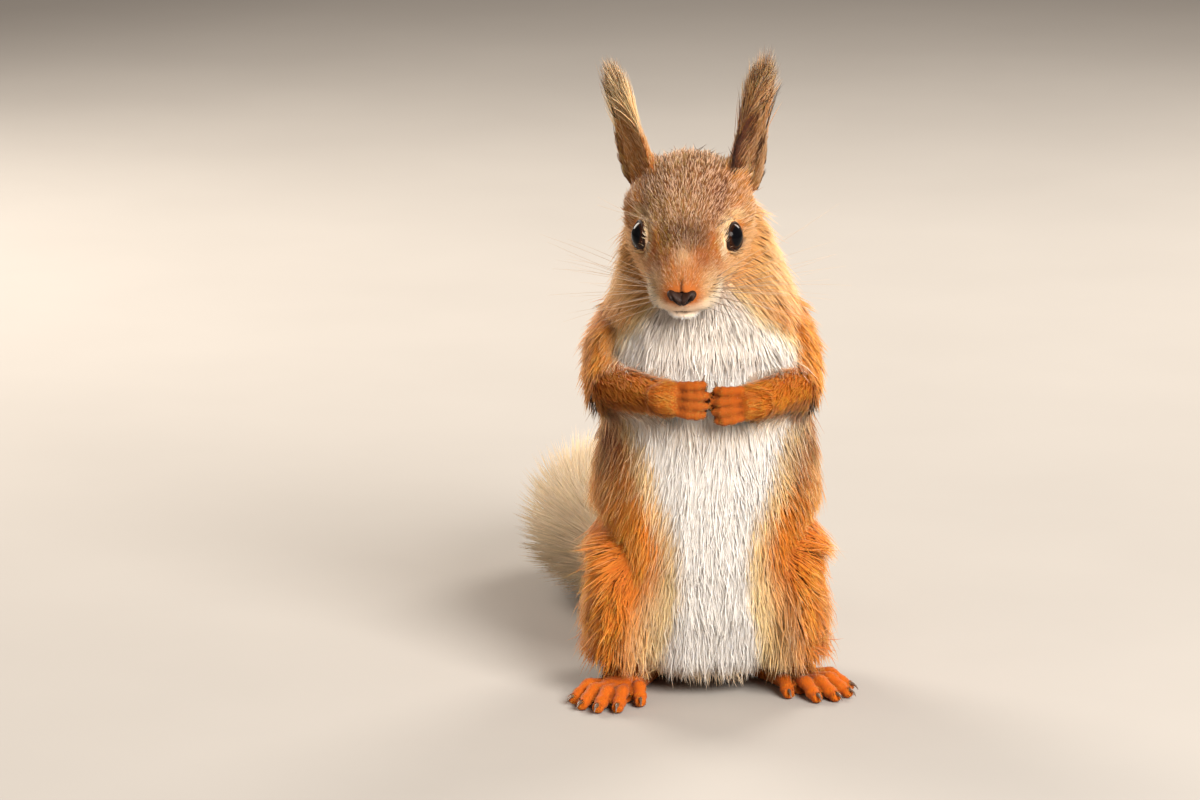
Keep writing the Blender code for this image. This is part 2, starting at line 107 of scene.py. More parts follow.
HEAD = (Matrix.Translation(EYE_MIDPOINT) @ Matrix.Rotation(math.radians(HEAD_YAW), 4, "Z")
        @ Matrix.Rotation(math.radians(HEAD_PITCH), 4, "X"))
HEAD_AXES = np.array(HEAD.to_3x3())
HEAD_PLACE = np.array(HEAD.translation)
SHIFT = np.array((box_middle("eye_left") + box_middle("eye_right")) / 2 - EYE_MIDPOINT)


def to_head(points):
    """Places in the head's own frame."""
    return (points - HEAD_PLACE) @ HEAD_AXES


def from_head(points):
    return np.asarray(points, float) @ HEAD_AXES.T + HEAD_PLACE


def to_row(points):
    """The animal's millimetres as metres in the frame that the solids share."""
    return (np.asarray(points, float) + SHIFT) * MM


def from_row(points):
    return np.asarray(points, float) / MM - SHIFT


def unit(vectors):
    vectors = np.asarray(vectors, float)
    return vectors / np.maximum(np.linalg.norm(vectors, axis=-1, keepdims=True), 1e-9)


def dot(a, b):
    return np.sum(a * b, axis=-1)


def step(low, high, x):
    """A smooth rise from 0 at low to 1 at high."""
    t = np.clip((x - low) / (high - low), 0.0, 1.0)
    return t * t * (3 - 2 * t)


def hill(x, middle, width):
    """A smooth bump that is 1 at its middle and nearly 0 beyond its width."""
    return np.exp(-2.0 * ((x - middle) / width) ** 2)


def ripple(points, length, seed):
    """A slow, smooth wander between about -1 and 1 over the body, with waves of about this length."""
    draw = np.random.default_rng(seed)
    total = np.zeros(len(points))
    for _ in range(5):
        way = unit(draw.normal(size=3)) * 2 * math.pi / (length * draw.uniform(0.7, 1.5))
        total += np.sin(points @ way + draw.uniform(0, 6.28))
    return total / 2.6


def spread(pairs, x):
    """A value read from (place, value) pairs."""
    places, values = zip(*pairs)
    return np.interp(x, places, values)


def path_point(path, place):
    """A point of a path of listed points, at a place counted in points, on smooth curves between them."""
    last = len(path) - 1
    place = np.clip(np.atleast_1d(np.asarray(place, float)), 0, last)
    i = np.minimum(place.astype(int), last - 1)
    t = (place - i)[:, None]
    p0, p1 = path[np.maximum(i - 1, 0)], path[i]
    p2, p3 = path[i + 1], path[np.minimum(i + 2, last)]
    return 0.5 * (2 * p1 + (p2 - p0) * t + (2 * p0 - 5 * p1 + 4 * p2 - p3) * t ** 2
                  + (3 * p1 - p0 - 3 * p2 + p3) * t ** 3)


def ear_frame(side):
    """An ear's root, and its own axes as columns: out of its mouth, across it and up the leaf."""
    sign = SIDES[side]
    out, back = EAR_LEAN[side]
    up = unit((sign * out, back, 1.0))
    turn = math.radians(EAR_TURN[side])
    mouth = np.array((sign * math.cos(turn), -math.sin(turn), 0.0))
    mouth = unit(mouth - up * dot(mouth, up))
    x, y, z = EAR_ROOT[side]
    return from_head(np.array((sign * x, y, z))), np.column_stack((mouth, np.cross(up, mouth), up))


Digit = namedtuple("Digit", "limb side line claw_root claw_out claw_down")
Eye = namedtuple("Eye", "middle radius axis ahead over")


def digits():
    """Each finger and toe, with its bent middle line and where its claw grows."""
    found = []
    for side in SIDES:
        aim = unit(HAND_AIM[side])
        chest = np.array((0.0, 1.0, 0.0))
        chest = unit(chest - aim * dot(chest, aim))
        top = np.cross(aim, chest)
        top = top if top[2] > 0 else -top
        wrist = np.array(FOREARM[side][1])
        for height, length, lift, curl in FINGERS:
            start = wrist + aim * PALM_REACH + top * height
            way = unit(aim + top * lift)
            knuckle = start + way * length * 0.5 - chest * 0.9
            middle = knuckle + way * length * 0.34 + chest * 0.5 * curl
            tip = middle + unit(way * 0.62 + chest * 0.78 * curl) * length * 0.3
            out = unit(tip - middle)
            found.append(Digit("hand", side, (start, knuckle, middle, tip),
                               tip + top * 0.3 * FINGER_RADIUS, unit(top + out * 0.2), chest))
    for side, sign in SIDES.items():
        x, y, heading = FOOT_AT[side]
        turn = np.array(Matrix.Rotation(math.radians(sign * heading), 3, "Z"))
        for across, along, fan, length in TOES:
            fan = math.radians(fan)
            way = np.array((sign * math.sin(fan), -math.cos(fan), 0.0))
            start = np.array((sign * across, along, TOE_HEIGHT))
            path = [start + way * length * share + (0, 0, rise) for share, rise in TOE_ARCH]
            path = [turn @ point + (x, y, 0) for point in path]
            root = path[-1] + turn @ way * 0.2 * TOE_RADIUS + (0, 0, 0.9)
            out = unit(turn @ way + (0, 0, 0.18))
            found.append(Digit("foot", side, path, root, out, np.array((0.0, 0.0, -1.0))))
    return found


def claw_point(digit, share):
    """A point on a claw's middle line, from its root at 0 to its tip at 1."""
    share = np.asarray(share, float)[..., None]
    length = CLAW_LENGTH[digit.limb]
    out, down = digit.claw_out, digit.claw_down
    return digit.claw_root + out * length * share * (1 - 0.25 * share) + down * length * 0.5 * share ** 2


# ---------------------------------------------------------------- meshes from arrays
def mesh_from(name, points, faces, smooth=True):
    """A mesh from points in the animal's millimetres and triangles or quads, all of one size."""
    points, faces = np.asarray(points, float), np.asarray(faces, np.int32)
    mesh = bpy.data.meshes.new(name)
    mesh.vertices.add(len(points))
    mesh.vertices.foreach_set("co", to_row(points).astype(np.float32).ravel())
    mesh.loops.add(faces.size)
    mesh.loops.foreach_set("vertex_index", faces.ravel())
    mesh.polygons.add(len(faces))
    mesh.polygons.foreach_set("loop_start", np.arange(0, faces.size, faces.shape[1], dtype=np.int32))
    mesh.update(calc_edges=True)
    mesh.polygons.foreach_set("use_smooth", np.full(len(faces), smooth))
    return mesh


def show(name, mesh):
    thing = bpy.data.objects.new(name, mesh)
    bpy.context.scene.collection.objects.link(thing)
    return thing


def drop(thing):
    mesh = thing.data
    bpy.data.objects.remove(thing)
    bpy.data.meshes.remove(mesh)


def with_modifier(thing, kind, **settings):
    """The thing's mesh after one modifier, in a plain mesh of its own."""
    modifier = thing.modifiers.new(kind, kind)
    for name, value in settings.items():
        setattr(modifier, name, value)
    graph = bpy.context.evaluated_depsgraph_get()
    made = bpy.data.meshes.new_from_object(thing.evaluated_get(graph))
    thing.modifiers.clear()
    return made


def store(mesh, name, values):
    """Keeps one number or three for each point, for the materials to read."""
    kind = "FLOAT" if values.ndim == 1 else "FLOAT_VECTOR"
    layer = mesh.attributes.new(name, kind, "POINT")
    layer.data.foreach_set("value" if kind == "FLOAT" else "vector", values.astype(np.float32).ravel())


def rings(centres, offsets):
    """Closed tube points and faces: a ring of offsets about each centre, capped by fans at both ends."""
    count, sides = offsets.shape[:2]
    points = (centres[:, None] + offsets).reshape(-1, 3)
    points = np.vstack((points, centres[:1], centres[-1:]))
    first, last = count * sides, count * sides + 1
    faces = []
    for i in range(count - 1):
        for j in range(sides):
            a, b = i * sides + j, i * sides + (j + 1) % sides
            faces += [(a, b, b + sides), (a, b + sides, a + sides)]
    end = (count - 1) * sides
    for j in range(sides):
        k = (j + 1) % sides
        faces += [(first, k, j), (last, end + j, end + k)]
    return points, np.array(faces)


def tube(path, radii, sides=16):
    """A round closed tube along a path of points."""
    ways = unit(np.gradient(path, axis=0))
    across = unit(np.cross(ways, (0.0, 0.0, 1.0)))
    over = np.cross(across, ways)
    turn = np.linspace(0, 2 * math.pi, sides, endpoint=False)[None, :, None]
    ring = np.cos(turn) * across[:, None] + np.sin(turn) * over[:, None]
    return rings(path, ring * np.asarray(radii)[:, None, None])


class Net:
    """A mesh's points, triangles and neighbours as arrays, with the averages that smoothing needs."""

    def __init__(self, mesh):
        self.points = np.empty(len(mesh.vertices) * 3, np.float32)
        mesh.vertices.foreach_get("co", self.points)
        self.points = from_row(self.points.reshape(-1, 3))
        mesh.calc_loop_triangles()
        self.triangles = np.empty(len(mesh.loop_triangles) * 3, np.int32)
        mesh.loop_triangles.foreach_get("vertices", self.triangles)
        self.triangles = self.triangles.reshape(-1, 3)
        self.edges = np.empty(len(mesh.edges) * 2, np.int32)
        mesh.edges.foreach_get("vertices", self.edges)
        self.edges = self.edges.reshape(-1, 2)
        self.count = len(self.points)
        self.degree = np.bincount(self.edges.ravel(), minlength=self.count).astype(float)

    def total(self, index, values):
        columns = [np.bincount(index, v, self.count) for v in values.T]
        return np.column_stack(columns)

    def mean(self, values):
        a, b = self.edges.T
        return (self.total(a, values[b]) + self.total(b, values[a])) / self.degree[:, None]

    def diffuse(self, values, rounds):
        for _ in range(rounds):
            values = 0.4 * values + 0.6 * self.mean(values)
        return values

    def smooth(self, strength, rounds, shrink=False):
        """Smooths by each point's strength. Without shrink, every second pass gives the volume back."""
        strength = strength[:, None]
        for _ in range(rounds):
            self.points += (self.mean(self.points) - self.points) * strength * 0.5
            if not shrink:
                self.points -= (self.mean(self.points) - self.points) * strength * 0.52

    def normals(self):
        a, b, c = (self.points[self.triangles[:, i]] for i in range(3))
        flat = np.cross(b - a, c - a)
        return unit(sum(self.total(self.triangles[:, i], flat) for i in range(3)))

    def areas(self):
        a, b, c = (self.points[self.triangles[:, i]] for i in range(3))
        return np.linalg.norm(np.cross(b - a, c - a), axis=1) / 2


# ---------------------------------------------------------------- skin
LOWEST = 0.25               # the skin's height over the ground where it touches down
SKIN_VOXEL = 0.62           # the size of the cells in which the solids become one skin
GAP_FILL = 0.22             # how far each solid swells first, to close the gap to its neighbour
SKIN_TRIANGLES = 186000
SCULPT_ROUNDS = {"head": 26, "ear": 5, "hand": 6, "foot": 6, "forearm": 24, "upper_arm": 36}
BODY_ROUNDS = 60

# how deep the coat is over the skin, the length and width of its locks, locks in a square millimetre,
# and how steeply a lock leaves the skin and ends over it, in degrees
COAT = {
    "head": (1.3, 3.6, 0.24, 3.4, 30, 5),
    "ear": (0.45, 2.8, 0.22, 3.6, 32, 12),
    "neck": (1.4, 10.0, 0.26, 2.9, 40, 8),
    "chest": (3.2, 10.5, 0.27, 3.0, 20, 2),
    "belly": (3.2, 11.0, 0.27, 2.8, 20, 2),
    "tail": (0.0, 20.0, 0.34, 4.4, 66, 30),
    "upper_arm": (2.5, 8.0, 0.30, 2.6, 38, 8),
    "forearm": (1.5, 5.2, 0.26, 3.4, 34, 6),
    "hand": (0.30, 1.25, 0.16, 5.0, 24, 6),
    "thigh": (5.0, 12.0, 0.28, 2.3, 32, 3),
    "foot": (0.45, 1.9, 0.20, 4.2, 28, 6),
}

EYE_AXIS = np.array((0.87, -0.32, 0.37))    # the way the animal's left eye looks, in the head's frame
EYE_OPENING = 55.0                          # degrees from that axis to the lid's edge
EYE_CORNER = 9.0                            # how much further the opening runs at its two corners
LID_PROUD = 0.32                            # the lid's edge above the eyeball


def flesh_object():
    """All solids of flesh and the tail's core, swollen a little and joined in one mesh."""
    joined = bmesh.new()
    for name in FLESH:
        if name.startswith("tail"):
            continue
        solid = bmesh.new()
        solid.from_mesh(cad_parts[name].data)
        bmesh.ops.remove_doubles(solid, verts=solid.verts, dist=1e-6)
        bmesh.ops.recalc_face_normals(solid, faces=solid.faces)
        for vertex in solid.verts:
            vertex.co += vertex.normal * GAP_FILL * MM
        swollen = bpy.data.meshes.new("swollen")
        solid.to_mesh(swollen)
        solid.free()
        joined.from_mesh(swollen)
        bpy.data.meshes.remove(swollen)
    place = np.linspace(0, TAIL_CORE[-1][0], 60)
    extras = [tube(path_point(TAIL, place)[:, :3], spread(TAIL_CORE, place))]
    for side in SIDES:
        extras.append(ball(EYES[side].middle, EYES[side].radius + 0.3))
    for points, faces in extras:
        mesh = mesh_from("extra", points, faces)
        joined.from_mesh(mesh)
        bpy.data.meshes.remove(mesh)
    mesh = bpy.data.meshes.new("flesh")
    joined.to_mesh(mesh)
    joined.free()
    return show("flesh", mesh)


def ball(middle, radius, sides=32, rows=20):
    """A round closed ball of points and faces."""
    lift = np.linspace(-math.pi / 2, math.pi / 2, rows + 2)[1:-1]
    turn = np.linspace(0, 2 * math.pi, sides, endpoint=False)
    offsets = np.stack((np.outer(np.cos(lift), np.cos(turn)), np.outer(np.cos(lift), np.sin(turn)),
                        np.zeros((rows, sides))), -1) * radius
    centres = np.column_stack((np.zeros(rows), np.zeros(rows), np.sin(lift) * radius)) + middle
    points, faces = rings(centres, offsets)
    points[-2], points[-1] = middle - (0, 0, radius), middle + (0, 0, radius)
    return points, faces


def eye_places():
    """Each eye's middle, radius, the way it looks, and two directions across that, the first forwards."""
    found = {}
    for side, sign in SIDES.items():
        low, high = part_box(f"eye_{side}")
        axis = unit((EYE_AXIS * (sign, 1, 1)) @ HEAD_AXES.T)
        ahead = np.array((0.0, -1.0, -0.12)) @ HEAD_AXES.T
        ahead = unit(ahead - axis * dot(ahead, axis))
        middle = from_row(np.array((low + high) / 2))
        found[side] = Eye(middle, np.mean(high - low) / 2 / MM, axis, ahead, np.cross(axis, ahead))
    return found


def opening_angle(turn):
    """Degrees from the eye's axis to the lid's edge, at a turn about it that starts at the front corner."""
    front = np.cos(turn / 2) ** 24
    back = np.sin(turn / 2) ** 24
    return EYE_OPENING + EYE_CORNER * front + 0.7 * EYE_CORNER * back


def eye_angles(points, side):
    """For each point: its distance from the eye's middle, degrees from its axis, and turn about the axis."""
    middle, _, axis, ahead, over = EYES[side]
    offset = points - middle
    distance = np.linalg.norm(offset, axis=1)
    way = offset / np.maximum(distance, 1e-6)[:, None]
    angle = np.degrees(np.arccos(np.clip(way @ axis, -1, 1)))
    return distance, angle, np.arctan2(way @ over, way @ ahead)


def keep_largest(mesh):
    """Leaves only the largest connected shell of a mesh."""
    shell = bmesh.new()
    shell.from_mesh(mesh)
    left = set(shell.verts)
    best = []
    while left:
        seed = left.pop()
        found, edge = [seed], [seed]
        while edge:
            fresh = []
            for vertex in edge:
                for link in vertex.link_edges:
                    other = link.other_vert(vertex)
                    if other in left:
                        left.remove(other)
                        fresh.append(other)
            found += fresh
            edge = fresh
        if len(found) > len(best):
            best = found
    keep = set(best)
    bmesh.ops.delete(shell, geom=[v for v in shell.verts if v not in keep], context="VERTS")
    shell.to_mesh(mesh)
    shell.free()


def nearest_kind(points):
    """For each point, the number of its kind of part in KINDS, and the side it is on."""
    corners, faces, owner = [], [], []
    for name in FLESH:
        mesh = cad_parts[name].data
        base = len(corners)
        corners += [v.co.copy() for v in mesh.vertices]
        kind = KINDS.index(name.replace("_left", "").replace("_right", "").split("_base")[0]
                           .split("_middle")[0].split("_tip")[0])
        for polygon in mesh.polygons:
            faces.append([base + i for i in polygon.vertices])
            owner.append((kind, SIDES.get(name.rsplit("_", 1)[-1], 0)))
    tree = BVHTree.FromPolygons(corners, faces)
    hits = np.array([owner[tree.find_nearest(p)[2]] for p in to_row(points).tolist()])
    return hits[:, 0], hits[:, 1]


def head_lengths(places):
    """How the coat runs over the head: depth, length, width and density, from the nose to the nape."""
    along = places[:, 1]
    depth = spread(((-25, 0.15), (-18, 0.4), (-8, 0.8), (4, 1.1), (16, 1.5), (27, 3.0)), along)
    length = spread(((-25, 1.1), (-21, 1.9), (-10, 2.3), (2, 2.5), (14, 3.0), (27, 7.0)), along)
    width = spread(((-25, 0.14), (-10, 0.19), (4, 0.20), (16, 0.22), (27, 0.26)), along)
    many = spread(((-25, 9.0), (-12, 7.0), (2, 6.2), (14, 5.0), (27, 3.2)), along)
    cheek = step(0, -8, places[:, 2]) * step(-15, 6, along)
    depth += cheek * 0.8
    side = step(3, 8, np.abs(places[:, 0])) * step(-24, -18, along) * step(1, -4, places[:, 2])
    length += cheek * 5.0 + side * 1.0
    width += cheek * 0.07
    return np.column_stack((depth, length, width, many * (1 - 0.40 * cheek)))


def comb(points, kind, side):
    """The way the fur lies at each point, before it is laid on the skin."""
    x, _, z = points.T
    sign = np.where(side == 0, np.sign(x + 1e-6), side)
    zero = np.zeros(len(points))

    def on(name):
        return (kind == KINDS.index(name))[:, None]

    way = np.column_stack((0.10 * np.clip(x / 30, -1, 1), 0.12 + zero, -1 + zero))

    head = to_head(points)
    back = unit(head - np.array((0, NOSE_BACK - 2, NOSE_HEIGHT + 1)))
    far = step(-18, 2, head[:, 1])[:, None]
    steady = np.column_stack((0.25 * head[:, 0] / 15, 1 + zero, -0.55 * step(4, -8, head[:, 2])))
    lie = (back * (1 - far) + unit(steady) * far) @ HEAD_AXES.T
    way = np.where(on("head"), lie, way)

    ruff = np.column_stack((sign * 0.5 * step(4, 16, np.abs(x + 4)), 0.05 + zero, -0.85 + zero))
    way = np.where(on("neck"), ruff, way)

    for name, side_sign in SIDES.items():
        here = (side == side_sign)[:, None]
        way = np.where(here & on("ear"), ear_frame(name)[1][:, 2], way)
        for limb, ends, sag in (("upper_arm", UPPER_ARM, 0.35), ("forearm", FOREARM, 0.30)):
            start, end = ends[name]
            way = np.where(here & on(limb), unit(np.subtract(end, start)) + (0, 0, -sag), way)
        way = np.where(here & on("hand"), np.array(HAND_AIM[name]), way)
        heading = math.radians(FOOT_AT[name][2])
        stroke = np.array((side_sign * math.sin(heading), -math.cos(heading), -0.15))
        way = np.where(here & on("foot"), stroke, way)

    high = step(12, 58, z) * (0.12 + 0.88 * step(33, 23, np.abs(x)))
    thigh = np.column_stack((sign * (0.12 + 0.70 * high), 0.22 + 0.25 * high, -0.95 + 0.35 * high))
    way = np.where(on("thigh"), thigh, way)
    tail = kind == KINDS.index("tail")
    way[tail] = comb_tail(points[tail])
    return unit(way)


def comb_tail(points):
    """Along the tail's middle line, towards its tip."""
    line = path_point(TAIL, np.linspace(0, 9, 60))[:, :3]
    gap = np.linalg.norm(points[:, None, ::2] - line[None, :, ::2], axis=2)
    gap += np.abs(points[:, None, 1] - line[None, :, 1])
    return unit(np.gradient(line, axis=0))[np.argmin(gap, axis=1)]


class Skin:
    """The skin's fine mesh with what each point knows about the coat that grows there."""

    def __init__(self):
        flesh = flesh_object()
        mesh = with_modifier(flesh, "REMESH", mode="VOXEL", voxel_size=SKIN_VOXEL * MM, adaptivity=0.0)
        drop(flesh)
        keep_largest(mesh)
        self.mesh = mesh
        self.net = net = Net(mesh)
        self.kind, self.side = nearest_kind(net.points)
        self.share = np.eye(len(KINDS))[self.kind]
        for _ in range(18):
            self.share = net.diffuse(self.share, 1)
        self.blunt_claws()
        strength = sum(self.share[:, i] * min(SCULPT_ROUNDS.get(k, BODY_ROUNDS), BODY_ROUNDS) / BODY_ROUNDS
                       for i, k in enumerate(KINDS))
        strength = np.clip(strength, 0.08, 1.0)
        net.smooth(strength, BODY_ROUNDS)
        self.fill_creases()
        self.measure_coat()
        self.sink()
        net.smooth(np.clip(strength, 0.1, 0.6), 6)
        self.round_digits()
        self.sculpt_face()
        self.normals = net.normals()
        self.crease_shade = self.find_crease_shade()
        self.marks = pelt(net.points, self.share, self.side)
        self.lay_fur()

    def blunt_claws(self):
        """Presses each claw of the solids back into a blunt tip, as the claws are pieces of their own."""
        points = self.net.points
        shares = np.linspace(0, 1, 9)
        for digit in DIGITS:
            path = claw_point(digit, shares)
            reach = CLAW_LENGTH[digit.limb] * 0.9
            near = np.nonzero(np.linalg.norm(points - path[4], axis=1) < reach)[0]
            gap = np.linalg.norm(points[near, None] - path[None], axis=2)
            nearest = np.argmin(gap, axis=1)
            on = (nearest > 0) & (gap.min(axis=1) < CLAW_RADIUS[digit.limb] + 0.45)
            moved, nearest = near[on], nearest[on]
            radial = (points[moved] - path[nearest]) * (1 - shares[nearest])[:, None] * 0.8
            points[moved] = path[0] + (path[1] - path[0]) * 0.5 + radial

    def fill_creases(self):
        """Fills the folds between haunch and belly, ear and head, and along the arm, as flesh does."""
        net = self.net
        part = {k: self.share[:, i] for i, k in enumerate(KINDS)}
        low = (part["belly"] + part["thigh"] + part["chest"]) * step(96, 78, net.points[:, 2])
        joint = part["ear"] * part["head"] + part["forearm"] * (part["hand"] + part["upper_arm"])
        root = net.diffuse(np.clip(joint * 8, 0, 1)[:, None], 24)[:, 0]
        where = np.clip(low + 1.6 * root, 0, 1)
        for rounds in (20, 40, 60, 60, 60):
            lift = dot(net.diffuse(net.points, rounds) - net.points, net.normals())
            net.points += net.normals() * (np.clip(lift, 0, 2) * where)[:, None]
            net.smooth(where, 8)

    def round_digits(self):
        """Rounds each finger and toe about its own middle line, which leaves a fold between neighbours."""
        points = self.net.points
        places = np.linspace(0, 3, 22)
        for limb, full, give in (("hand", FINGER_RADIUS, 0.20), ("foot", TOE_RADIUS, 0.25)):
            for side in SIDES:
                mine = [digit for digit in DIGITS if digit.limb == limb and digit.side == side]
                line = np.concatenate([path_point(np.array(digit.line), places) for digit in mine])
                at = np.tile(places, len(mine))
                ids = np.nonzero((self.kind == KINDS.index(limb)) & (self.side == SIDES[side]))[0]
                offset = points[ids][:, None] - line[None]
                gap = np.linalg.norm(offset, axis=2)
                near = np.argmin(gap, axis=1)
                gap, place = gap[np.arange(len(ids)), near], at[near]
                knuckled = (full - give) * (1 + 0.08 * np.cos(place * 2 * math.pi))
                radius = knuckled * (1 - 0.16 * step(2, 3, place))
                pull = step(0.0, 0.4, place) * (gap < full + 1.3)
                way = offset[np.arange(len(ids)), near] / np.maximum(gap, 1e-6)[:, None]
                points[ids] += way * ((radius - gap) * pull)[:, None]
        points[:, 2] = np.maximum(points[:, 2], LOWEST)

    def measure_coat(self):
        """Depth, length, width and density of the coat at each point, and its two lifts."""
        table = np.array([COAT[k] for k in KINDS], float)
        coat = self.share @ table
        places = to_head(self.net.points)
        head = self.share[:, KINDS.index("head")][:, None]
        coat[:, :4] += head * (head_lengths(places) - table[KINDS.index("head"), :4])
        for name, sign in SIDES.items():
            past = dot(self.net.points - FOREARM[name][1], unit(HAND_AIM[name]))
            wrist = step(5.5, -1.5, past) * self.share[:, KINDS.index("hand")] * (self.side == sign)
            coat[:, 0] += 0.9 * wrist
            coat[:, 1] += 2.6 * wrist
            coat[:, 2] += 0.08 * wrist
        coat[:, 1] *= 1 - 0.35 * step(22, 6, self.net.points[:, 2])
        trunk = self.share[:, [KINDS.index(k) for k in ("chest", "belly", "thigh")]].sum(axis=1)[:, None]
        coat += (self.net.diffuse(coat, 60) - coat) * step(0.9, 1.0, trunk)
        x, y, _ = self.net.points.T
        bib = step(26, 14, np.abs(x)) * step(-4, -12, y) * trunk[:, 0]
        coat[:, 2] += 0.05 * bib
        coat[:, 4] *= 1 - np.maximum(0.55 * bib, 0.35 * step(30, 38, np.abs(x)) * trunk[:, 0])
        self.coat = coat

    def sink(self):
        """Sinks the skin below the outline of the solids by the coat's depth."""
        net = self.net
        normals = net.diffuse(net.normals(), 3)
        part = {k: self.share[:, i] for i, k in enumerate(KINDS)}
        x, _, z = net.points.T
        waist = hill(z, 58, 24) * step(14, 24, np.abs(x)) * (part["belly"] + part["chest"])
        haunch = (0.8 * step(8, 20, z) + 0.4 * hill(z, 46, 16)) * part["thigh"] * step(12, 24, np.abs(x))
        hip = hill(z, 49, 9) * step(16, 26, np.abs(x)) * (0.9 + 0.7 * (x > 0))
        hip = hip * (part["belly"] + part["thigh"])
        depth = net.diffuse((self.coat[:, 0] - 1.9 * waist + 1.5 * haunch - hip)[:, None], 20)[:, 0]
        ground = step(0.2, 3.0, net.points[:, 2])
        net.points -= unit(normals) * (depth * (0.25 + 0.75 * ground))[:, None]
        net.points[:, 2] = np.maximum(net.points[:, 2], LOWEST)

    def sculpt_face(self):
        """Presses the eye openings, lids, nostril wings, whisker pads and mouth into the skin."""
        net = self.net
        for side in SIDES:
            middle, radius, axis, _, _ = EYES[side]
            distance, angle, turn = eye_angles(net.points, side)
            edge = opening_angle(turn)
            past = angle - edge
            on_rim = np.abs(past) < 4.5
            distance, way = distance[:, None], (net.points - middle) / distance[:, None]
            flat = way - axis * (way @ axis)[:, None]
            flat = unit(flat)
            rim = np.radians(edge)[:, None]
            way = np.where(on_rim[:, None], axis * np.cos(rim) + flat * np.sin(rim), way)
            lid = radius + LID_PROUD + 0.35 * hill(past, 12, 9)
            inside = radius - 0.7 * step(-1, -9, past) + 0.05
            target = np.where(past < -1, inside, lid)[:, None]
            blend = np.where(past < 8, 1.0, 1 - step(8, 34, past))[:, None]
            blend = blend * (distance < radius + 3.2) * (angle < 110)[:, None]
            net.points = middle + way * (distance * (1 - blend) + target * blend)
        face = self.share[:, KINDS.index("head")]
        for name, sign in SIDES.items():
            root, axes = ear_frame(name)
            under = root + np.array((sign * 4.2, 0, 0)) - axes[:, 2] * 4.0
            gap = np.linalg.norm(net.points - under, axis=1)
            net.points[:, 0] += sign * 2.0 * np.exp(-(gap / 5.5) ** 2) * face
        head = to_head(net.points)
        x, y, z = head.T
        side = np.abs(x)
        pads = hill(side, 5.6, 3.4) * hill(y, -20.0, 5.0) * hill(z, -5.4, 3.6) * 0.7
        groove = hill(side, 0, 0.55) * step(-21.5, -23.0, y) * hill(z, -4.6, 2.6) * 0.45
        lip = MOUTH_DEPTH * mouth_line(head)
        bridge = hill(side, 0, 3.0) * hill(y, -15, 6) * step(0, 3, z) * 0.25
        brow = hill(side, 9.8, 2.6) * hill(y, -3.5, 5.0) * step(3, 6, z) * 0.35
        jowls = 1.7 * hill(side, 6.6, 3.6) * hill(y, -18.0, 5.0) * hill(z, -7.6, 3.2)
        push = (pads + jowls + bridge + brow - groove - lip) * face
        net.points += net.normals() * push[:, None]
        chin = step(-17, -20.5, y) * step(-7.6, -8.8, z) * step(5.5, 2.5, side) * face
        net.points += (np.array((0.0, -0.62, -0.78)) @ HEAD_AXES.T) * (1.5 * chin)[:, None]

    def find_crease_shade(self):
        """Painted shade: 1 in creases and folds, such as between the fingers, and 0 on flat or rounded skin.
        """
        net = self.net
        near = dot(net.diffuse(net.points, 3) - net.points, self.normals)
        wide = dot(net.diffuse(net.points, 14) - net.points, self.normals)
        crease_shade = step(0.02, 0.22, near) * 0.6 + step(0.10, 0.75, wide) * 0.6
        return np.clip(net.diffuse(crease_shade[:, None], 1)[:, 0], 0, 1)

    def lay_fur(self):
        """The lie of the coat on the skin at each point."""
        way = comb(self.net.points, self.kind, self.side)
        normal = self.normals
        for _ in range(4):
            way = self.net.diffuse(way, 9)
            way = unit(way - normal * dot(way, normal)[:, None])
        self.way = way


MOUTH_DEPTH = 0.7


def mouth_line(head):
    """1 along the closed mouth, fading to 0 beside it, for points in the head's frame."""
    x, y, z = head.T
    side = np.abs(x)
    height = -7.7 - 0.30 * side + 0.02 * side ** 2
    return hill(z, height, 0.55) * step(8.5, 5.5, side) * step(-10, -15, y) * (1 - 0.5 * step(2, 6, side))


EYES = eye_places()
DIGITS = digits()


# ---------------------------------------------------------------- markings
# the markings of the trunk, as (height, place or width) pairs
WHITE_HALF_WIDTH = ((0, 14), (12, 15), (24, 13), (34, 10.5), (48, 10.5), (56, 12.5), (65, 17), (76, 20),
                    (81, 24), (85, 28), (92, 31), (98, 31), (108, 26), (114, 20), (119, 15.5), (124, 12),
                    (132, 9))
WHITE_MIDDLE = ((0, 1.2), (34, 2.2), (64, 2.0), (84, 1.8), (104, 0), (120, -2.0), (132, -4))
SPINE_AT = ((0, 0), (120, -1), (150, -4))
# the tail's cream is its own colour; its white share brightens it as painted light
TAIL_MARKS = {"brown": 0.05, "cream": 0.88, "white": 0.22}

# the left ear's stripe ends at this share of its half width, by the distance up the ear
EAR_EDGE = ((0, -0.30), (6, -0.15), (15, 0.12), (22, 0.2), (28, 0.35))
EAR_HALF_WIDTH = 5.0
EAR_BROWN = {"left": 0.9, "right": 0.6}
EAR_SHADE = {"left": 0.42, "right": 0.0}    # how much darker the lower half of each ear is


def arm_shade(points, part, side):
    """Painted shade under each arm and along its upper edge, which fades towards the wrist."""
    x, _, z = points.T
    under_arm, wrist = np.zeros(len(points)), np.ones(len(points))
    for name, sign in SIDES.items():
        here = side == sign
        past = dot(points - FOREARM[name][1], unit(HAND_AIM[name]))
        wrist -= 0.7 * here * step(-9, 0, past)
        for limb, ends in (("forearm", FOREARM[name]), ("upper_arm", UPPER_ARM[name])):
            middle_line = sorted((abs(end[0]), end[2]) for end in ends)
            over = z - spread(middle_line, np.abs(x))
            low = step(0.5, -6.5, over) + 0.6 * step(3.5, 7.5, over) * (limb == "forearm")
            under_arm += here * part[limb] * low
    return 0.42 * np.clip(under_arm, 0, 1) * wrist


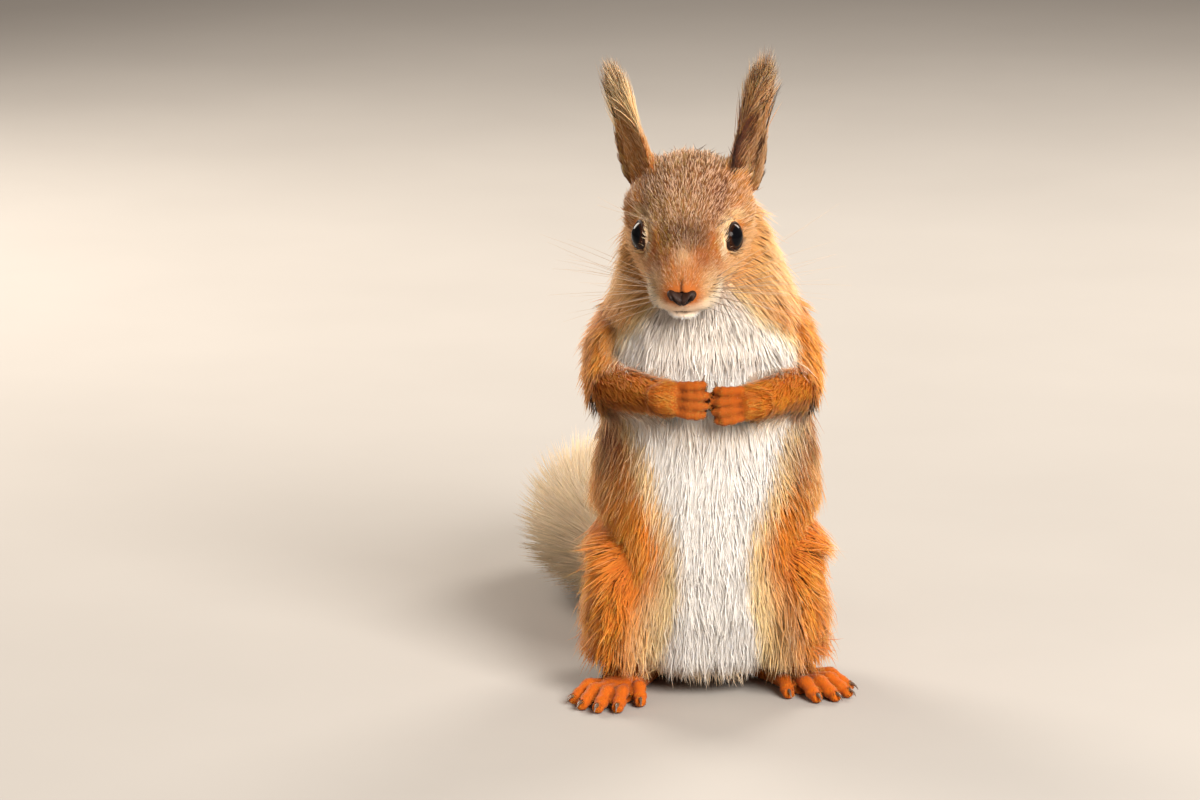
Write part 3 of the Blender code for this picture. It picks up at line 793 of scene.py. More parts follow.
def body_marks(points, part, side):
    """The markings of the trunk, limbs and tail."""
    x, y, z = points.T
    trunk = part["neck"] + part["chest"] + part["belly"]

    off = np.abs(x - spread(WHITE_MIDDLE, z)) - spread(WHITE_HALF_WIDTH, z)
    front = step(-2, -11, y)
    body = np.clip(trunk + part["thigh"] * 0.9, 0, 1)
    white = step(2.0, -3.0, off) * front * body
    cream = step(9.0 + 8 * step(46, 26, z), 0.0, off) * front * body
    cream = cream * (1 - 0.5 * step(70, 95, z) * step(0, 6, off))
    inner_thigh = step(27, 14, np.abs(x - 2)) * step(66, 34, z) * front
    cream = np.maximum(cream, inner_thigh * part["thigh"])
    cream = np.maximum(cream, 0.38 * part["neck"] * step(112, 126, z) * step(14, 2, y))
    vent = step(13, 5, z) * step(16, 9, np.abs(x - 0.5)) * front * body
    # the dip in white about 85 mm up lets cream through as painted shade under the hands
    white *= (1 - 0.9 * vent) * (1 - 0.40 * hill(z, 85, 7)) * (1 - 0.2 * step(100, 110, z))
    cream = np.maximum(cream, 0.7 * vent)

    flank = step(20, 29, np.abs(x)) * hill(z, 78, 24) * trunk
    spine = hill(x, spread(SPINE_AT, z), 24) * step(6, 18, y) * trunk
    haunch_back = step(4, 20, y) * part["thigh"]
    brown = np.clip(1.0 * flank + 0.6 * spine, 0, 1)
    brown = np.maximum(brown, 0.3 * haunch_back)
    brown = np.maximum(brown, 0.38 * part["thigh"] * step(31, 40, np.abs(x)))
    grizzle = 0.35 * flank + 0.45 * spine
    grizzle += 0.4 * part["thigh"] * step(29, 38, np.abs(x))

    ginger = (trunk + part["thigh"]) * (0.25 + 0.45 * step(70, 46, z))
    ginger = ginger * (1 - 0.4 * flank) * (1 - 0.4 * haunch_back)
    ginger += part["upper_arm"] * 0.4
    ginger += part["tail"] * 0.3 + part["forearm"] + part["hand"] * 0.9 + part["foot"]

    # the thigh's darker share below 16 mm is painted shade near the ground
    dark = 0.16 * part["forearm"] + 0.12 * part["foot"] + 0.2 * part["thigh"] * step(16, 3, z)
    for name, sign in SIDES.items():
        past = dot(points - FOREARM[name][1], unit(HAND_AIM[name]))
        dark += (side == sign) * part["hand"] * (0.26 + 0.16 * step(2, 7, past))
    dark += arm_shade(points, part, side)

    marks = dict(ginger=ginger, brown=brown, cream=cream, white=white, dark=dark, grizzle=grizzle)
    for mark, share in TAIL_MARKS.items():
        marks[mark] = np.where(part["tail"] > 0.5, share, marks[mark])
    return marks


def head_marks(points):
    """The markings of the head: grey-brown above, rusty by the eyes, pale rings, lips and throat."""
    head = to_head(points)
    x, y, z = head.T
    wide = np.abs(x)
    muzzle = step(-9.5, -16.5, y)
    top = step(-5.5, 0.5, z + 0.1 * y)
    forehead = top * (1 - muzzle)
    cheek = (1 - top) * (1 - muzzle)
    rust = hill(wide, 8.8, 4.2) * hill(y, -9.0, 6.5) * step(-7, -3, z)
    rust = np.maximum(rust, hill(wide, 6.4, 3.4) * hill(y, -13.8, 4.8) * step(-5, -1, z))
    lower = step(-3.6, -7.2, z + 0.05 * y)
    flew = step(4.2, 8.0, wide) * muzzle
    lips = np.maximum(lower * muzzle, 0.8 * step(-22.0, -24.2, y) * step(-3.2, -5.2, z))
    throat = step(-7.5, -11.5, z) * step(13, 7, wide) * (1 - muzzle * 0.2) * step(6, -2, y)
    bridge = hill(wide, 0, 3.2) * hill(y, -15.0, 3.6) * top

    brown = forehead * (1 - 0.9 * rust) * (1 - 0.6 * step(11, 15.5, wide)) + 0.38 * muzzle * (1 - lower)
    ginger = np.clip(rust * 0.95 + muzzle * (1 - lower) * (0.62 - 0.30 * flew) + 0.3 * cheek, 0, 1)
    cream = np.clip(0.75 * lips + 0.28 * cheek + 0.45 * bridge + 0.5 * flew * (1 - rust)
                    + 0.04 * muzzle * (1 - lower), 0, 1)
    white = np.clip(throat * 0.9 + 0.35 * lips, 0, 1)
    grizzle = forehead * (1 - 0.8 * rust) + 0.2 * cheek + 0.45 * muzzle * (1 - lips)
    dark = 0.30 * rust * step(-2, -8, y)
    dark = dark + 0.66 * hill(y, -8.0, 6.5) * step(11, 6, wide) * top * (1 - 0.7 * rust)
    dark += 0.15 * muzzle * (1 - lower)
    dark += 0.9 * hill(wide, 0, 0.6) * step(-20.0, -23.0, y) * step(-1.5, 1.0, z)
    # painted shade in the crease of the closed mouth
    dark += mouth_line(head) * step(3.4, 1.8, wide)
    for name in SIDES:
        distance, angle, turn = eye_angles(points, name)
        past = angle - opening_angle(turn)
        close = distance < EYES[name].radius + 4.5
        above = 0.5 + 0.5 * np.sin(turn) * np.sign(EYES[name].over[2])
        ring = close * hill(past, 6 + 5 * above, 4 + 8 * above) * (0.6 + 0.4 * above)
        cream = np.maximum(cream, ring)
        white = np.maximum(white, 0.5 * close * hill(past, 8, 5) * step(0.3, 0.9, above) * step(-1, -5, y))
        brown, ginger, grizzle = (mark * (1 - ring) for mark in (brown, ginger, grizzle))
        dark = np.maximum(dark, close * step(4.5, 1.5, past))
    # painted shade on the head's right side, below the right ear
    dark += 0.7 * hill(-x, 13.5, 2.2) * hill(y, 1.5, 5.5) * step(2, 6, z)
    return dict(ginger=ginger, brown=brown, cream=cream, white=white, dark=dark, grizzle=grizzle)


def ear_marks(points, side):
    """The ears' markings: a dark inner stripe, golden rims, painted shade in the opening, brown behind."""
    brown, dark, ginger, cream = (np.zeros(len(points)) for _ in range(4))
    for name, sign in SIDES.items():
        root, axes = ear_frame(name)
        up = (points - root) @ axes[:, 2]
        off = points - root - up[:, None] * axes[:, 2]
        out, ahead = off[:, 0] * sign / EAR_HALF_WIDTH, step(-1.6, -0.4, off @ axes[:, 0])
        here = side == sign
        if name == "left":
            edge = spread(EAR_EDGE, up)
            stripe = step(edge + 0.12, edge - 0.12, out) * step(28, 22, up) * step(-2, 3, up)
            rim = hill(out, edge + 0.20, 0.18) * step(20, 16, up) + step(0.62, 0.76, out) * step(24, 18, up)
            mouth = hill(out, edge + 0.46, 0.20) * step(19, 15, up)
            # the dark mouth between the rims is painted shade in the ear's opening
            deep = stripe + 0.9 * mouth * (1 - stripe)
        else:
            # the right ear's dark band inside its outer rim is painted shade
            stripe = hill(out, 0.66, 0.30) * step(24, 16, up)
            rim = step(0.86, 0.96, out) * step(24, 20, up)
            deep = 0.85 * stripe
        dark += here * (ahead * deep + EAR_SHADE[name] * step(26, 17, up))
        ginger += here * (0.2 + 0.6 * np.clip(rim, 0, 1) * ahead)
        # the cream high on the ear is a painted highlight
        cream += here * np.clip(0.5 * rim * ahead + 0.25 * step(20, 28, up), 0, 1)
        brown += here * (EAR_BROWN[name] - 0.6 * np.clip(rim, 0, 1) * ahead)
    return dict(ginger=ginger, brown=brown, cream=cream, white=0, dark=dark, grizzle=0.5)


def pelt(points, share, side):
    """The markings at each point, worked out from the part of the body it is on.

    Gives six shares from 0 to 1: ginger, grey-brown, cream, white, dark and grizzled.
    """
    part = {k: share[:, i] for i, k in enumerate(KINDS)}
    head, ear = part["head"], part["ear"]
    body, face, ears = body_marks(points, part, side), head_marks(points), ear_marks(points, side)
    return {mark: np.clip(body[mark] * (1 - head) * (1 - ear) + face[mark] * head + ears[mark] * ear, 0, 1)
            for mark in body}


def store_pelt(mesh, marks, along, shade, crease_shade):
    """Keeps the markings on a mesh, with the place along a lock, its shade, and painted shade in folds."""
    store(mesh, "pelt_warm", np.column_stack((marks["ginger"], marks["brown"], marks["cream"])))
    store(mesh, "pelt_pale", np.column_stack((marks["white"], marks["dark"], marks["grizzle"])))
    store(mesh, "lock", np.column_stack((along, shade, crease_shade)))


# ---------------------------------------------------------------- materials
class Wire:
    """A node's output in Python sums: values add Math nodes, colours and vectors Vector Math nodes."""

    def __init__(self, tree, socket):
        self.tree, self.socket = tree, socket

    def sum(self, operation, left, right):
        flat = self.socket.type == "VALUE"
        node = self.tree.nodes.new("ShaderNodeMath" if flat else "ShaderNodeVectorMath")
        node.operation = operation
        for slot, item in zip(node.inputs, (left, right)):
            plug(self.tree, slot, item)
        return Wire(self.tree, node.outputs[0])

    def __add__(self, other):
        return self.sum("ADD", self, other)

    def __radd__(self, other):
        return self.sum("ADD", other, self)

    def __sub__(self, other):
        return self.sum("SUBTRACT", self, other)

    def __rsub__(self, other):
        return self.sum("SUBTRACT", other, self)

    def __mul__(self, other):
        return self.sum("MULTIPLY", self, other)

    def __rmul__(self, other):
        return self.sum("MULTIPLY", other, self)

    def above(self, other):
        return self.sum("GREATER_THAN", self, other)


def plug(tree, slot, item):
    """Links a wire to an input, or sets the input's own value."""
    if isinstance(item, Wire):
        tree.links.new(item.socket, slot)
    elif slot.type in ("VECTOR", "RGBA") and not hasattr(item, "__len__"):
        slot.default_value = (item,) * len(slot.default_value)
    elif slot.type == "RGBA":
        slot.default_value = (*item[:3], 1.0)
    else:
        slot.default_value = item


def set_stops(elements, stops):
    """Gives a ramp its (place, value) stops."""
    while len(elements) < len(stops):
        elements.new(0.5)
    for element, (place, value) in zip(elements, stops):
        element.position, element.color = place, (value, value, value, 1)


class Finish:
    """One procedural material, built round a Principled surface."""

    def __init__(self, name, constants):
        self.material = bpy.data.materials.new(name)
        self.material.use_nodes = True
        self.tree = self.material.node_tree
        self.surface = self.tree.nodes["Principled BSDF"]
        for socket, value in constants.items():
            self.set(socket, value)
        self.place = self.node("ShaderNodeTexCoord", out="Object")

    def node(self, kind, settings=None, sockets=None, out=0):
        """A node with its settings and sockets. Gives its output by number or name, or all for None."""
        node = self.tree.nodes.new(kind)
        for name, value in (settings or {}).items():
            if name == "stops":
                set_stops(node.color_ramp.elements, value)
            else:
                setattr(node, name, value)
        for name, value in (sockets or {}).items():
            plug(self.tree, node.inputs[name], value)
        if out is None:
            return [Wire(self.tree, socket) for socket in node.outputs]
        return Wire(self.tree, node.outputs[out])

    def noise(self, scale, detail=2.0, stretch=(1, 1, 1)):
        """Noise from 0 to 1 over the object, with this many grains in a metre."""
        place = self.place
        if stretch != (1, 1, 1):
            place = self.node("ShaderNodeMapping", None, {"Vector": place, "Scale": stretch})
        sockets = {"Vector": place, "Scale": scale, "Detail": detail}
        return self.node("ShaderNodeTexNoise", None, sockets, "Fac")

    def split(self, name):
        """The three numbers that the mesh keeps under a name."""
        stored = self.node("ShaderNodeAttribute", {"attribute_name": name}, out="Vector")
        return self.node("ShaderNodeSeparateXYZ", None, {"Vector": stored}, None)

    def mix(self, factor, first, second):
        return self.node("ShaderNodeMix", {"data_type": "RGBA"}, {0: factor, 6: first, 7: second}, 2)

    def ramp(self, factor, stops):
        """A value read from (place, value) stops."""
        read = self.node("ShaderNodeValToRGB", {"stops": stops}, {"Fac": factor})
        return self.node("ShaderNodeRGBToBW", None, {"Color": read})

    def bump(self, height, strength, distance):
        normal = self.node("ShaderNodeBump", None,
                           {"Height": height, "Strength": strength, "Distance": distance}, "Normal")
        plug(self.tree, self.surface.inputs["Normal"], normal)

    def set(self, name, item):
        plug(self.tree, self.surface.inputs[name], item)


def tone(red, green, blue):
    """A colour named by its 0 to 255 screen values."""
    shares = (red / 255, green / 255, blue / 255)
    return tuple(((c + 0.055) / 1.055) ** 2.4 if c > 0.04 else c / 12.92 for c in shares)


RUSSET = tone(214, 120, 40)
GINGER = tone(210, 98, 10)
GREY_BROWN = tone(122, 68, 38)
CREAM = tone(244, 198, 140)
WHITE = tone(255, 243, 230)
DARK = tone(44, 21, 10)
TAN = tone(218, 156, 84)
GRIZZLE_PALE = tone(212, 162, 134)
GRIZZLE_DARK = tone(74, 40, 24)


def coat_colour(finish):
    """The coat's colour from the markings and painted shade that the mesh keeps, the same on skin and locks.
    """
    ginger, brown, cream = finish.split("pelt_warm")
    white, dark, grizzle = finish.split("pelt_pale")
    along, shade, crease_shade = finish.split("lock")
    colour = finish.mix(ginger, RUSSET, GINGER)
    colour = finish.mix(brown, colour, GREY_BROWN)
    broad = finish.ramp(finish.noise(38, 2.0), ((0.42, 0.0), (0.66, 1.0)))
    colour = finish.mix((broad * 0.28 + along * shade.above(0.55) * 0.30) * (1 - 0.75 * ginger), colour, TAN)
    colour = finish.mix(cream, colour, CREAM)
    colour = finish.mix(grizzle * shade.above(0.64) * 0.60, colour, GRIZZLE_PALE)
    colour = finish.mix(grizzle * (1 - shade.above(0.30)) * 0.55, colour, GRIZZLE_DARK)
    colour = finish.mix(white, colour, WHITE)
    colour = finish.mix(dark, colour, DARK)
    patches = finish.noise(70, 3.0)
    fine = finish.noise(900, 2.0)
    bright = 0.70 + patches * 0.16 + fine * 0.12 + shade * 0.34
    even = 0.90 + patches * 0.06 + shade * 0.10
    root = 0.74 + 0.30 * along
    # the last factor darkens creases and folds: painted shade
    light = ((1 - white) * bright * root + white * even) * (1 - crease_shade * 0.62)
    return colour * finish.node("ShaderNodeCombineXYZ", None, {"X": light, "Y": light, "Z": light})


def lock_finish(name, roughness=0.60, sheen=0.08, depth=0.0007):
    """Hair: the coat's colour, a soft sheen and fine streaks."""
    finish = Finish(name, {"Sheen Weight": sheen, "Sheen Roughness": 0.45, "Specular IOR Level": 0.12,
                           "Subsurface Weight": 0.5, "Subsurface Radius": (1.0, 0.62, 0.40),
                           "Subsurface Scale": depth})
    finish.set("Base Color", coat_colour(finish))
    streak = finish.noise(2600, 1.0)
    finish.set("Roughness", roughness - 0.08 + streak * 0.16)
    finish.bump(streak, 0.25, 0.0002)
    return finish.material


def skin_finish():
    """The skin under the coat, with the short flat underfur as colour and bump."""
    finish = Finish("underfur", {"Sheen Weight": 0.06, "Sheen Roughness": 0.5, "Specular IOR Level": 0.1})
    finish.set("Base Color", coat_colour(finish) * 0.92)
    hair = finish.noise(2200, 4.0, stretch=(1, 1, 0.35))
    finish.set("Roughness", 0.62 + hair * 0.2)
    finish.bump(hair, 0.55, 0.00035)
    return finish.material


def eye_finish():
    """A wet, nearly black eye with a narrow brown iris at its edge."""
    finish = Finish("eye", {"Specular IOR Level": 0.3, "IOR": 1.2})
    edge, _, _ = finish.split("iris")
    fibres = finish.noise(1500, 3.0)
    iris = finish.ramp(edge, ((0.0, 0.0), (0.50, 0.0), (0.60, 1.0), (0.80, 0.8), (0.92, 0.0)))
    finish.set("Base Color", finish.mix(iris * (0.35 + fibres * 0.5), tone(7, 7, 10), tone(52, 27, 12)))
    finish.set("Roughness", 0.05 + fibres * 0.05)
    return finish.material


def bare_finish(name, base, deep, roughness):
    """Bare skin, as on the nose and the lids: a fine pebbled leather, with painted shade where it is deep.
    """
    finish = Finish(name, {"Specular IOR Level": 0.2})
    depth, _, _ = finish.split("depth")
    pebble = finish.node("ShaderNodeTexVoronoi", None, {"Vector": finish.place, "Scale": 2600}, "Distance")
    patches = finish.noise(700, 3.0)
    colour = finish.mix(patches * 0.5, base, tuple(c * 1.5 for c in base))
    finish.set("Base Color", finish.mix(depth, colour, deep))
    finish.set("Roughness", roughness + pebble * 0.25)
    finish.bump(pebble, 0.35, 0.0002)
    return finish.material


def claw_finish():
    """Dark horn that pales towards the edges of its growth lines."""
    finish = Finish("claw", {"Coat Weight": 0.3, "Coat Roughness": 0.25})
    lines = finish.noise(1800, 2.0, stretch=(1, 1, 3))
    finish.set("Base Color", finish.mix(lines, tone(34, 22, 16), tone(122, 96, 78)))
    finish.set("Roughness", 0.3 + lines * 0.2)
    finish.bump(lines, 0.3, 0.0001)
    return finish.material


def whisker_finish():
    """Stiff hair, dark at its root and pale at its tip."""
    finish = Finish("whisker", {"Specular IOR Level": 0.5})
    along = finish.split("share")[0]
    grain = finish.noise(1500, 1.0)
    tint = finish.ramp(along, ((0.0, 0.1), (0.25, 0.5), (1.0, 1.0)))
    finish.set("Base Color", finish.mix(tint, tone(40, 22, 14), tone(200, 168, 138)))
    finish.set("Roughness", 0.35 + grain * 0.15)
    return finish.material


def floor_finish():
    """A plain pale floor with a very faint mottle."""
    finish = Finish("floor", {"Specular IOR Level": 0.2})
    mottle = finish.noise(9, 3.0)
    finish.set("Base Color", finish.mix(mottle, tone(160, 157, 154), tone(168, 165, 162)))
    finish.set("Roughness", 0.8 + mottle * 0.1)
    return finish.material


# ---------------------------------------------------------------- coat
LOOSE_SHARE = 0.05          # how many locks stand a little off the rest
ROOT_DEPTH = 0.25           # how far under the skin a lock starts
CLUMP = 7                   # locks in a clump of the body's coat
TAIL_CLUMP, TUFT_CLUMP = 12, 12
GATHER = 0.28               # how far the locks of a clump lean together, and where that differs
GATHERS = {"coat_thigh_left": 0.4, "coat_thigh_right": 0.4, "coat_head": 0.15, "coat_bib": 0.0,
           "coat_paws": 0.1, "coat_tail": 0.35}
BAKE_PATCH = 0.003          # how wide each lock's patch is on the unwrap of the skin
COARSE_TRIANGLES = 9000     # the plain copy of the skin that is unwrapped
LONG, SHORT = 3, 2
LOCK_SHAPE = {SHORT: (0.75, 1.0), LONG: (0.7, 1.0, 0.72)}      # how wide a lock is at each of its rings

# piece: kinds of part, which share of them (see chosen_skin), steps in a lock, share of locks, slot
COAT_PIECES = {
    "coat_head": ("head", "all", SHORT, 1.0, "grey_brown_fur"),
    "coat_ears": ("ear", "all", SHORT, 1.1, "dark_fur"),
    "coat_bib": ("neck chest belly", "pale", SHORT, 1.30, "white_fur"),
    "coat_back_left": ("neck chest belly", "left", SHORT, 0.86, "russet_fur"),
    "coat_back_right": ("neck chest belly", "right", SHORT, 0.86, "russet_fur"),
    "coat_arms": ("upper_arm forearm", "all", SHORT, 1.1, "russet_fur"),
    "coat_thigh_left": ("thigh", "left", LONG, 1.05, "russet_fur"),
    "coat_thigh_right": ("thigh", "right", LONG, 1.05, "russet_fur"),
    "coat_paws": ("hand foot", "all", SHORT, 0.75, "orange_fur"),
    "coat_tail": ("tail", "all", LONG, 0.78, "cream_fur"),
}


class Roots:
    """The places where a piece's locks grow, with what the skin knows there."""

    def __init__(self, skin, chosen, share, seed):
        draw = np.random.default_rng(seed)
        net = skin.net
        corners = net.triangles
        many = net.areas() * skin.coat[corners[:, 0], 3] * share * chosen[corners].mean(axis=1)
        total = np.cumsum(many)
        count = int(total[-1])
        at = (np.arange(count) + draw.uniform(0, 1, count)) * total[-1] / count
        pick = corners[np.searchsorted(total, at).clip(0, len(corners) - 1)]
        first, second = np.sqrt(draw.uniform(0, 1, count)), draw.uniform(0, 1, count)
        weights = np.column_stack((1 - first, first * (1 - second), first * second))

        def read(values):
            return np.einsum("nc,nc...->n...", weights, values[pick])

        self.points, self.coat, self.share = read(net.points), read(skin.coat), read(skin.share)
        self.crease_shade = read(skin.crease_shade)
        self.normal = unit(read(skin.normals))
        way = read(skin.way)
        self.way = unit(way - self.normal * dot(way, self.normal)[:, None])
        self.side = skin.side[pick[:, 0]]
        self.draw = draw
        self.keep(self.clear_of_face_parts())

    def clear_of_face_parts(self):
        """False where bare skin shows: the eye openings, the nose, the mouth and what the ground hides."""
        keep = self.points[:, 2] > 0.7
        for name in SIDES:
            distance, angle, turn = eye_angles(self.points, name)
            keep &= ~((distance < EYES[name].radius + 2.2) & (angle < opening_angle(turn) + 5))
        head = to_head(self.points)
        keep &= np.linalg.norm((head - NOSE_MIDDLE) / NOSE_CLEAR, axis=1) > 1
        keep &= (mouth_line(head) < 0.35) | (np.abs(head[:, 0]) > 3.0)
        return keep

    def keep(self, mask):
        for name in ("points", "coat", "share", "crease_shade", "normal", "way", "side"):
            setattr(self, name, getattr(self, name)[mask])

    def __len__(self):
        return len(self.points)


def turned(way, normal, angle):
    """Directions on the skin turned about its normal by an angle each."""
    across = np.cross(normal, way)
    return way * np.cos(angle)[:, None] + across * np.sin(angle)[:, None]


def lying_paths(roots, steps):
    """Each lock's middle line: it leaves the skin steeply, then lies down along the coat."""
    draw, count = roots.draw, len(roots)
    length = roots.coat[:, 1] * draw.uniform(0.72, 1.18, count)
    wander = 0.13 * ripple(roots.points, 11, 11) + 0.08 * ripple(roots.points, 4.0, 12)
    angle = wander + draw.normal(0, 0.09, count)
    way = turned(roots.way, roots.normal, angle)
    loose = draw.uniform(0, 1, count) < LOOSE_SHARE
    length = np.where(loose, length * 1.2, length)
    rough = np.clip(roots.coat[:, 4] / 22, 0, 1)
    lift = np.radians(roots.coat[:, 4] + draw.normal(0, 5, count) * rough + 8 * loose)
    lay = np.radians(roots.coat[:, 5] + (draw.normal(0, 6, count) + 14 * loose) * rough)
    path = [roots.points - roots.normal * ROOT_DEPTH]
    for i in range(steps):
        t = (i + 0.5) / steps
        tilt = lift + (lay - lift) * t ** 0.8
        go = way * np.cos(tilt)[:, None] + roots.normal * np.sin(tilt)[:, None]
        path.append(path[-1] + go * (length / steps)[:, None])
    path = np.stack(path, axis=1)
    share = np.linspace(0, 1, steps + 1)[None, :, None]
    across = np.cross(roots.normal, way)
    bend = draw.normal(0, 0.07, count)[:, None, None] * length[:, None, None]
    path += across[:, None] * bend * np.sin(share * math.pi)
    return path


def gather(path, draw, one_in, pull):
    """Draws the tips of neighbouring locks together, as fur clumps."""
    seeds = draw.choice(len(path), max(1, len(path) // one_in), replace=False)
    tree = KDTree(len(seeds))
    for i, seed in enumerate(seeds.tolist()):
        tree.insert(path[seed, 0], i)
    tree.balance()
    lead = seeds[[tree.find(p)[1] for p in path[:, 0].tolist()]]
    share = np.linspace(0, 1, path.shape[1])[None, :, None] ** 1.4
    shift = path[lead] - path
    reach = np.linalg.norm(shift[:, -1], axis=1)
    length = np.linalg.norm(path[:, -1] - path[:, 0], axis=1)
    pull = pull * (reach < 0.6 * length)
    return path + shift * share * pull[:, None, None]


def tail_paths(roots, steps):
    """The tail's long hair: it leaves the thin core sideways and sweeps towards the tip."""
    draw, count = roots.draw, len(roots)
    places = np.linspace(0, 9, 180)
    line = path_point(TAIL, places)
    nearest = np.argmin(np.linalg.norm(roots.points[:, None] - line[None, :, :3], axis=2), axis=1)
    ways = unit(np.gradient(line[:, :3], axis=0))[nearest]
    reach = line[nearest, 3] - np.linalg.norm(roots.points - line[nearest, :3], axis=1)
    tip = step(5.6, TAIL_CORE[-1][0], places[nearest])
    reach = np.maximum(reach * draw.uniform(0.66, 1.16, count), 3.0)
    out = unit(roots.normal + ways * 0.05)
    wander = 0.30 * ripple(roots.points, 16, 21)[:, None] * np.cross(ways, out)
    stretch = spread(((0, 0.9), (2, 1.05), (6, 0.95), (9, 0.9)), places[nearest]) * (1 + 0.45 * tip)
    out = unit(out + wander + draw.normal(0, 0.10, (count, 3)))
    end = roots.points + out * reach[:, None] * (1 - 0.45 * tip)[:, None] \
        + ways * (reach * stretch * draw.uniform(0.8, 1.15, count))[:, None]
    bow = roots.points + out * (reach * 0.62)[:, None] + ways * (reach * 0.12)[:, None]
    share = np.linspace(0, 1, steps + 1)[None, :, None]
    return ((1 - share) ** 2 * roots.points[:, None] + 2 * share * (1 - share) * bow[:, None]
            + share ** 2 * end[:, None])


GROUND_REACH = 0.9          # below this height, locks bend along the ground
GROUND_GAP = 0.12           # and never come lower than this
GROUND_FADE = 6.0


def settle(path):
    """Lays what would reach the ground down along it."""
    z = path[..., 2]
    near = np.exp(np.minimum(z - GROUND_REACH, 0) / GROUND_FADE)
    path[..., 2] = np.where(z < GROUND_REACH, GROUND_GAP + (GROUND_REACH - GROUND_GAP) * near, z)
    return path


def lock_points(path, width, up):
    """Each lock's points, three-sided rings closed by a pointed tip, and the way that each is shaded."""
    count, places, _ = path.shape
    steps = places - 1
    ways = unit(np.diff(path, axis=1))
    ways = np.concatenate((ways[:, :1], (ways[:, 1:] + ways[:, :-1]) / 2), axis=1)
    side = unit(np.cross(ways, up[:, None]))
    over = np.cross(side, ways)
    wide = width[:, None, None] * np.array(LOCK_SHAPE[steps])[None, :, None]
    middle = path[:, :-1]
    ring = np.stack((middle - side * wide * 0.5 - over * wide * 0.16,
                     middle + side * wide * 0.5 - over * wide * 0.16,
                     middle + over * wide * 0.32), axis=2)
    points = np.concatenate((ring.reshape(count, steps * 3, 3), path[:, -1:]), axis=1)
    over = unit(over + up[:, None] * 1.6)
    facing = np.stack((over - side * 0.4, over + side * 0.4, over), axis=2).reshape(count, steps * 3, 3)
    return points, unit(np.concatenate((facing, over[:, -1:]), axis=1))


def lock_faces(steps):
    """The triangles of one lock, over its rings and its tip."""
    faces = [(0, 1, 2)]
    for i in range(steps - 1):
        for j in range(3):
            a, b = 3 * i + j, 3 * i + (j + 1) % 3
            faces += [(a, b + 3, b), (a, a + 3, b + 3)]
    end = 3 * (steps - 1)
    faces += [(end + j, 3 * steps, end + (j + 1) % 3) for j in range(3)]
    return np.array(faces)


def unwrapped(coarse, roots):
    """Lays a plain copy of the skin flat under one part of the coat, and gives each root its place on it."""
    corners = [v.co.copy() for v in coarse.vertices]
    faces = [tuple(p.vertices) for p in coarse.polygons]
    tree = BVHTree.FromPolygons(corners, faces)
    hit = [tree.find_nearest(p) for p in to_row(roots).tolist()]
    used = sorted({h[2] for h in hit})
    number = {face: i for i, face in enumerate(used)}
    patch = mesh_from("patch", from_row(np.array([c[:] for c in corners])), [faces[i] for i in used])
    thing = show("patch", patch)
    bpy.context.view_layer.objects.active = thing
    thing.select_set(True)
    bpy.ops.object.mode_set(mode="EDIT")
    bpy.ops.mesh.select_all(action="SELECT")
    bpy.ops.uv.smart_project(angle_limit=math.radians(66), island_margin=0.004)
    bpy.ops.object.mode_set(mode="OBJECT")
    flat = np.empty(len(used) * 6, np.float32)
    patch.uv_layers[0].data.foreach_get("uv", flat)
    flat = flat.reshape(-1, 3, 2)
    chosen = np.array([number[h[2]] for h in hit])
    spots = np.array([h[0][:] for h in hit])
    solid = np.array([[corners[v][:] for v in faces[i]] for i in used])[chosen]
    a, b, c = solid[:, 0], solid[:, 1], solid[:, 2]
    full = np.cross(b - a, c - a)
    size = np.maximum(dot(full, full), 1e-30)
    second = dot(np.cross(spots - a, c - a), full) / size
    third = dot(np.cross(b - a, spots - a), full) / size
    weights = np.clip(np.column_stack((1 - second - third, second, third)), 0, 1)
    drop(thing)
    return np.einsum("nc,nck->nk", weights, flat[chosen])


def coat_piece(name, path, width, up, marks, shade, crease_shade, unwrap, finish, nodes=()):
    """One joined mesh of locks with its markings and its place on the unwrap, riding on the body."""
    count, places, _ = path.shape
    steps = places - 1
    points, facing = lock_points(path, width, up)
    each = points.shape[1]
    template = lock_faces(steps)
    faces = (template[None] + (np.arange(count) * each)[:, None, None]).reshape(-1, 3)
    mesh = mesh_from(name, points.reshape(-1, 3), faces)
    along = np.append(np.repeat(np.arange(steps) / steps, 3), 1.0)
    across = np.append(np.tile((-0.5, 0.5, 0.0), steps), 0.0)
    store_pelt(mesh, {k: np.repeat(m, each) for k, m in marks.items()},
               np.tile(along, count), np.repeat(shade, each), np.repeat(crease_shade, each))
    offset = np.column_stack((across * (1 - 0.5 * along), along - 0.5)) * BAKE_PATCH
    flat = np.clip(unwrap[:, None] + offset[None], 0.0, 1.0).reshape(-1, 2)
    layer = mesh.uv_layers.new(name="OFBake")
    layer.data.foreach_set("uv", flat[faces.ravel()].astype(np.float32).ravel())
    mesh.materials.append(finish)
    mesh.normals_split_custom_set_from_vertices(facing.reshape(-1, 3).astype(np.float32))
    return ride(show(name, mesh), nodes)


def ride(thing, nodes=()):
    """Fastens a finished piece to the body and hides the solids that it stands for."""
    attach(thing, "root")
    if nodes:
        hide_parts(*nodes)
    return thing


def chosen_skin(skin, kinds, part):
    """1 on the skin where a piece of the coat grows, and 0 elsewhere."""
    chosen = np.isin(skin.kind, [KINDS.index(k) for k in kinds.split()])
    middle = spread(((0, 0), (110, -0.6), (150, -4)), skin.net.points[:, 2])
    left = np.where(skin.side == 0, skin.net.points[:, 0] > middle, skin.side > 0)
    pale = (skin.marks["white"] > 0.5) & (skin.side == 0)
    rule = {"all": True, "pale": pale, "left": left & ~pale, "right": ~left & ~pale}
    return (chosen & rule[part]).astype(float)


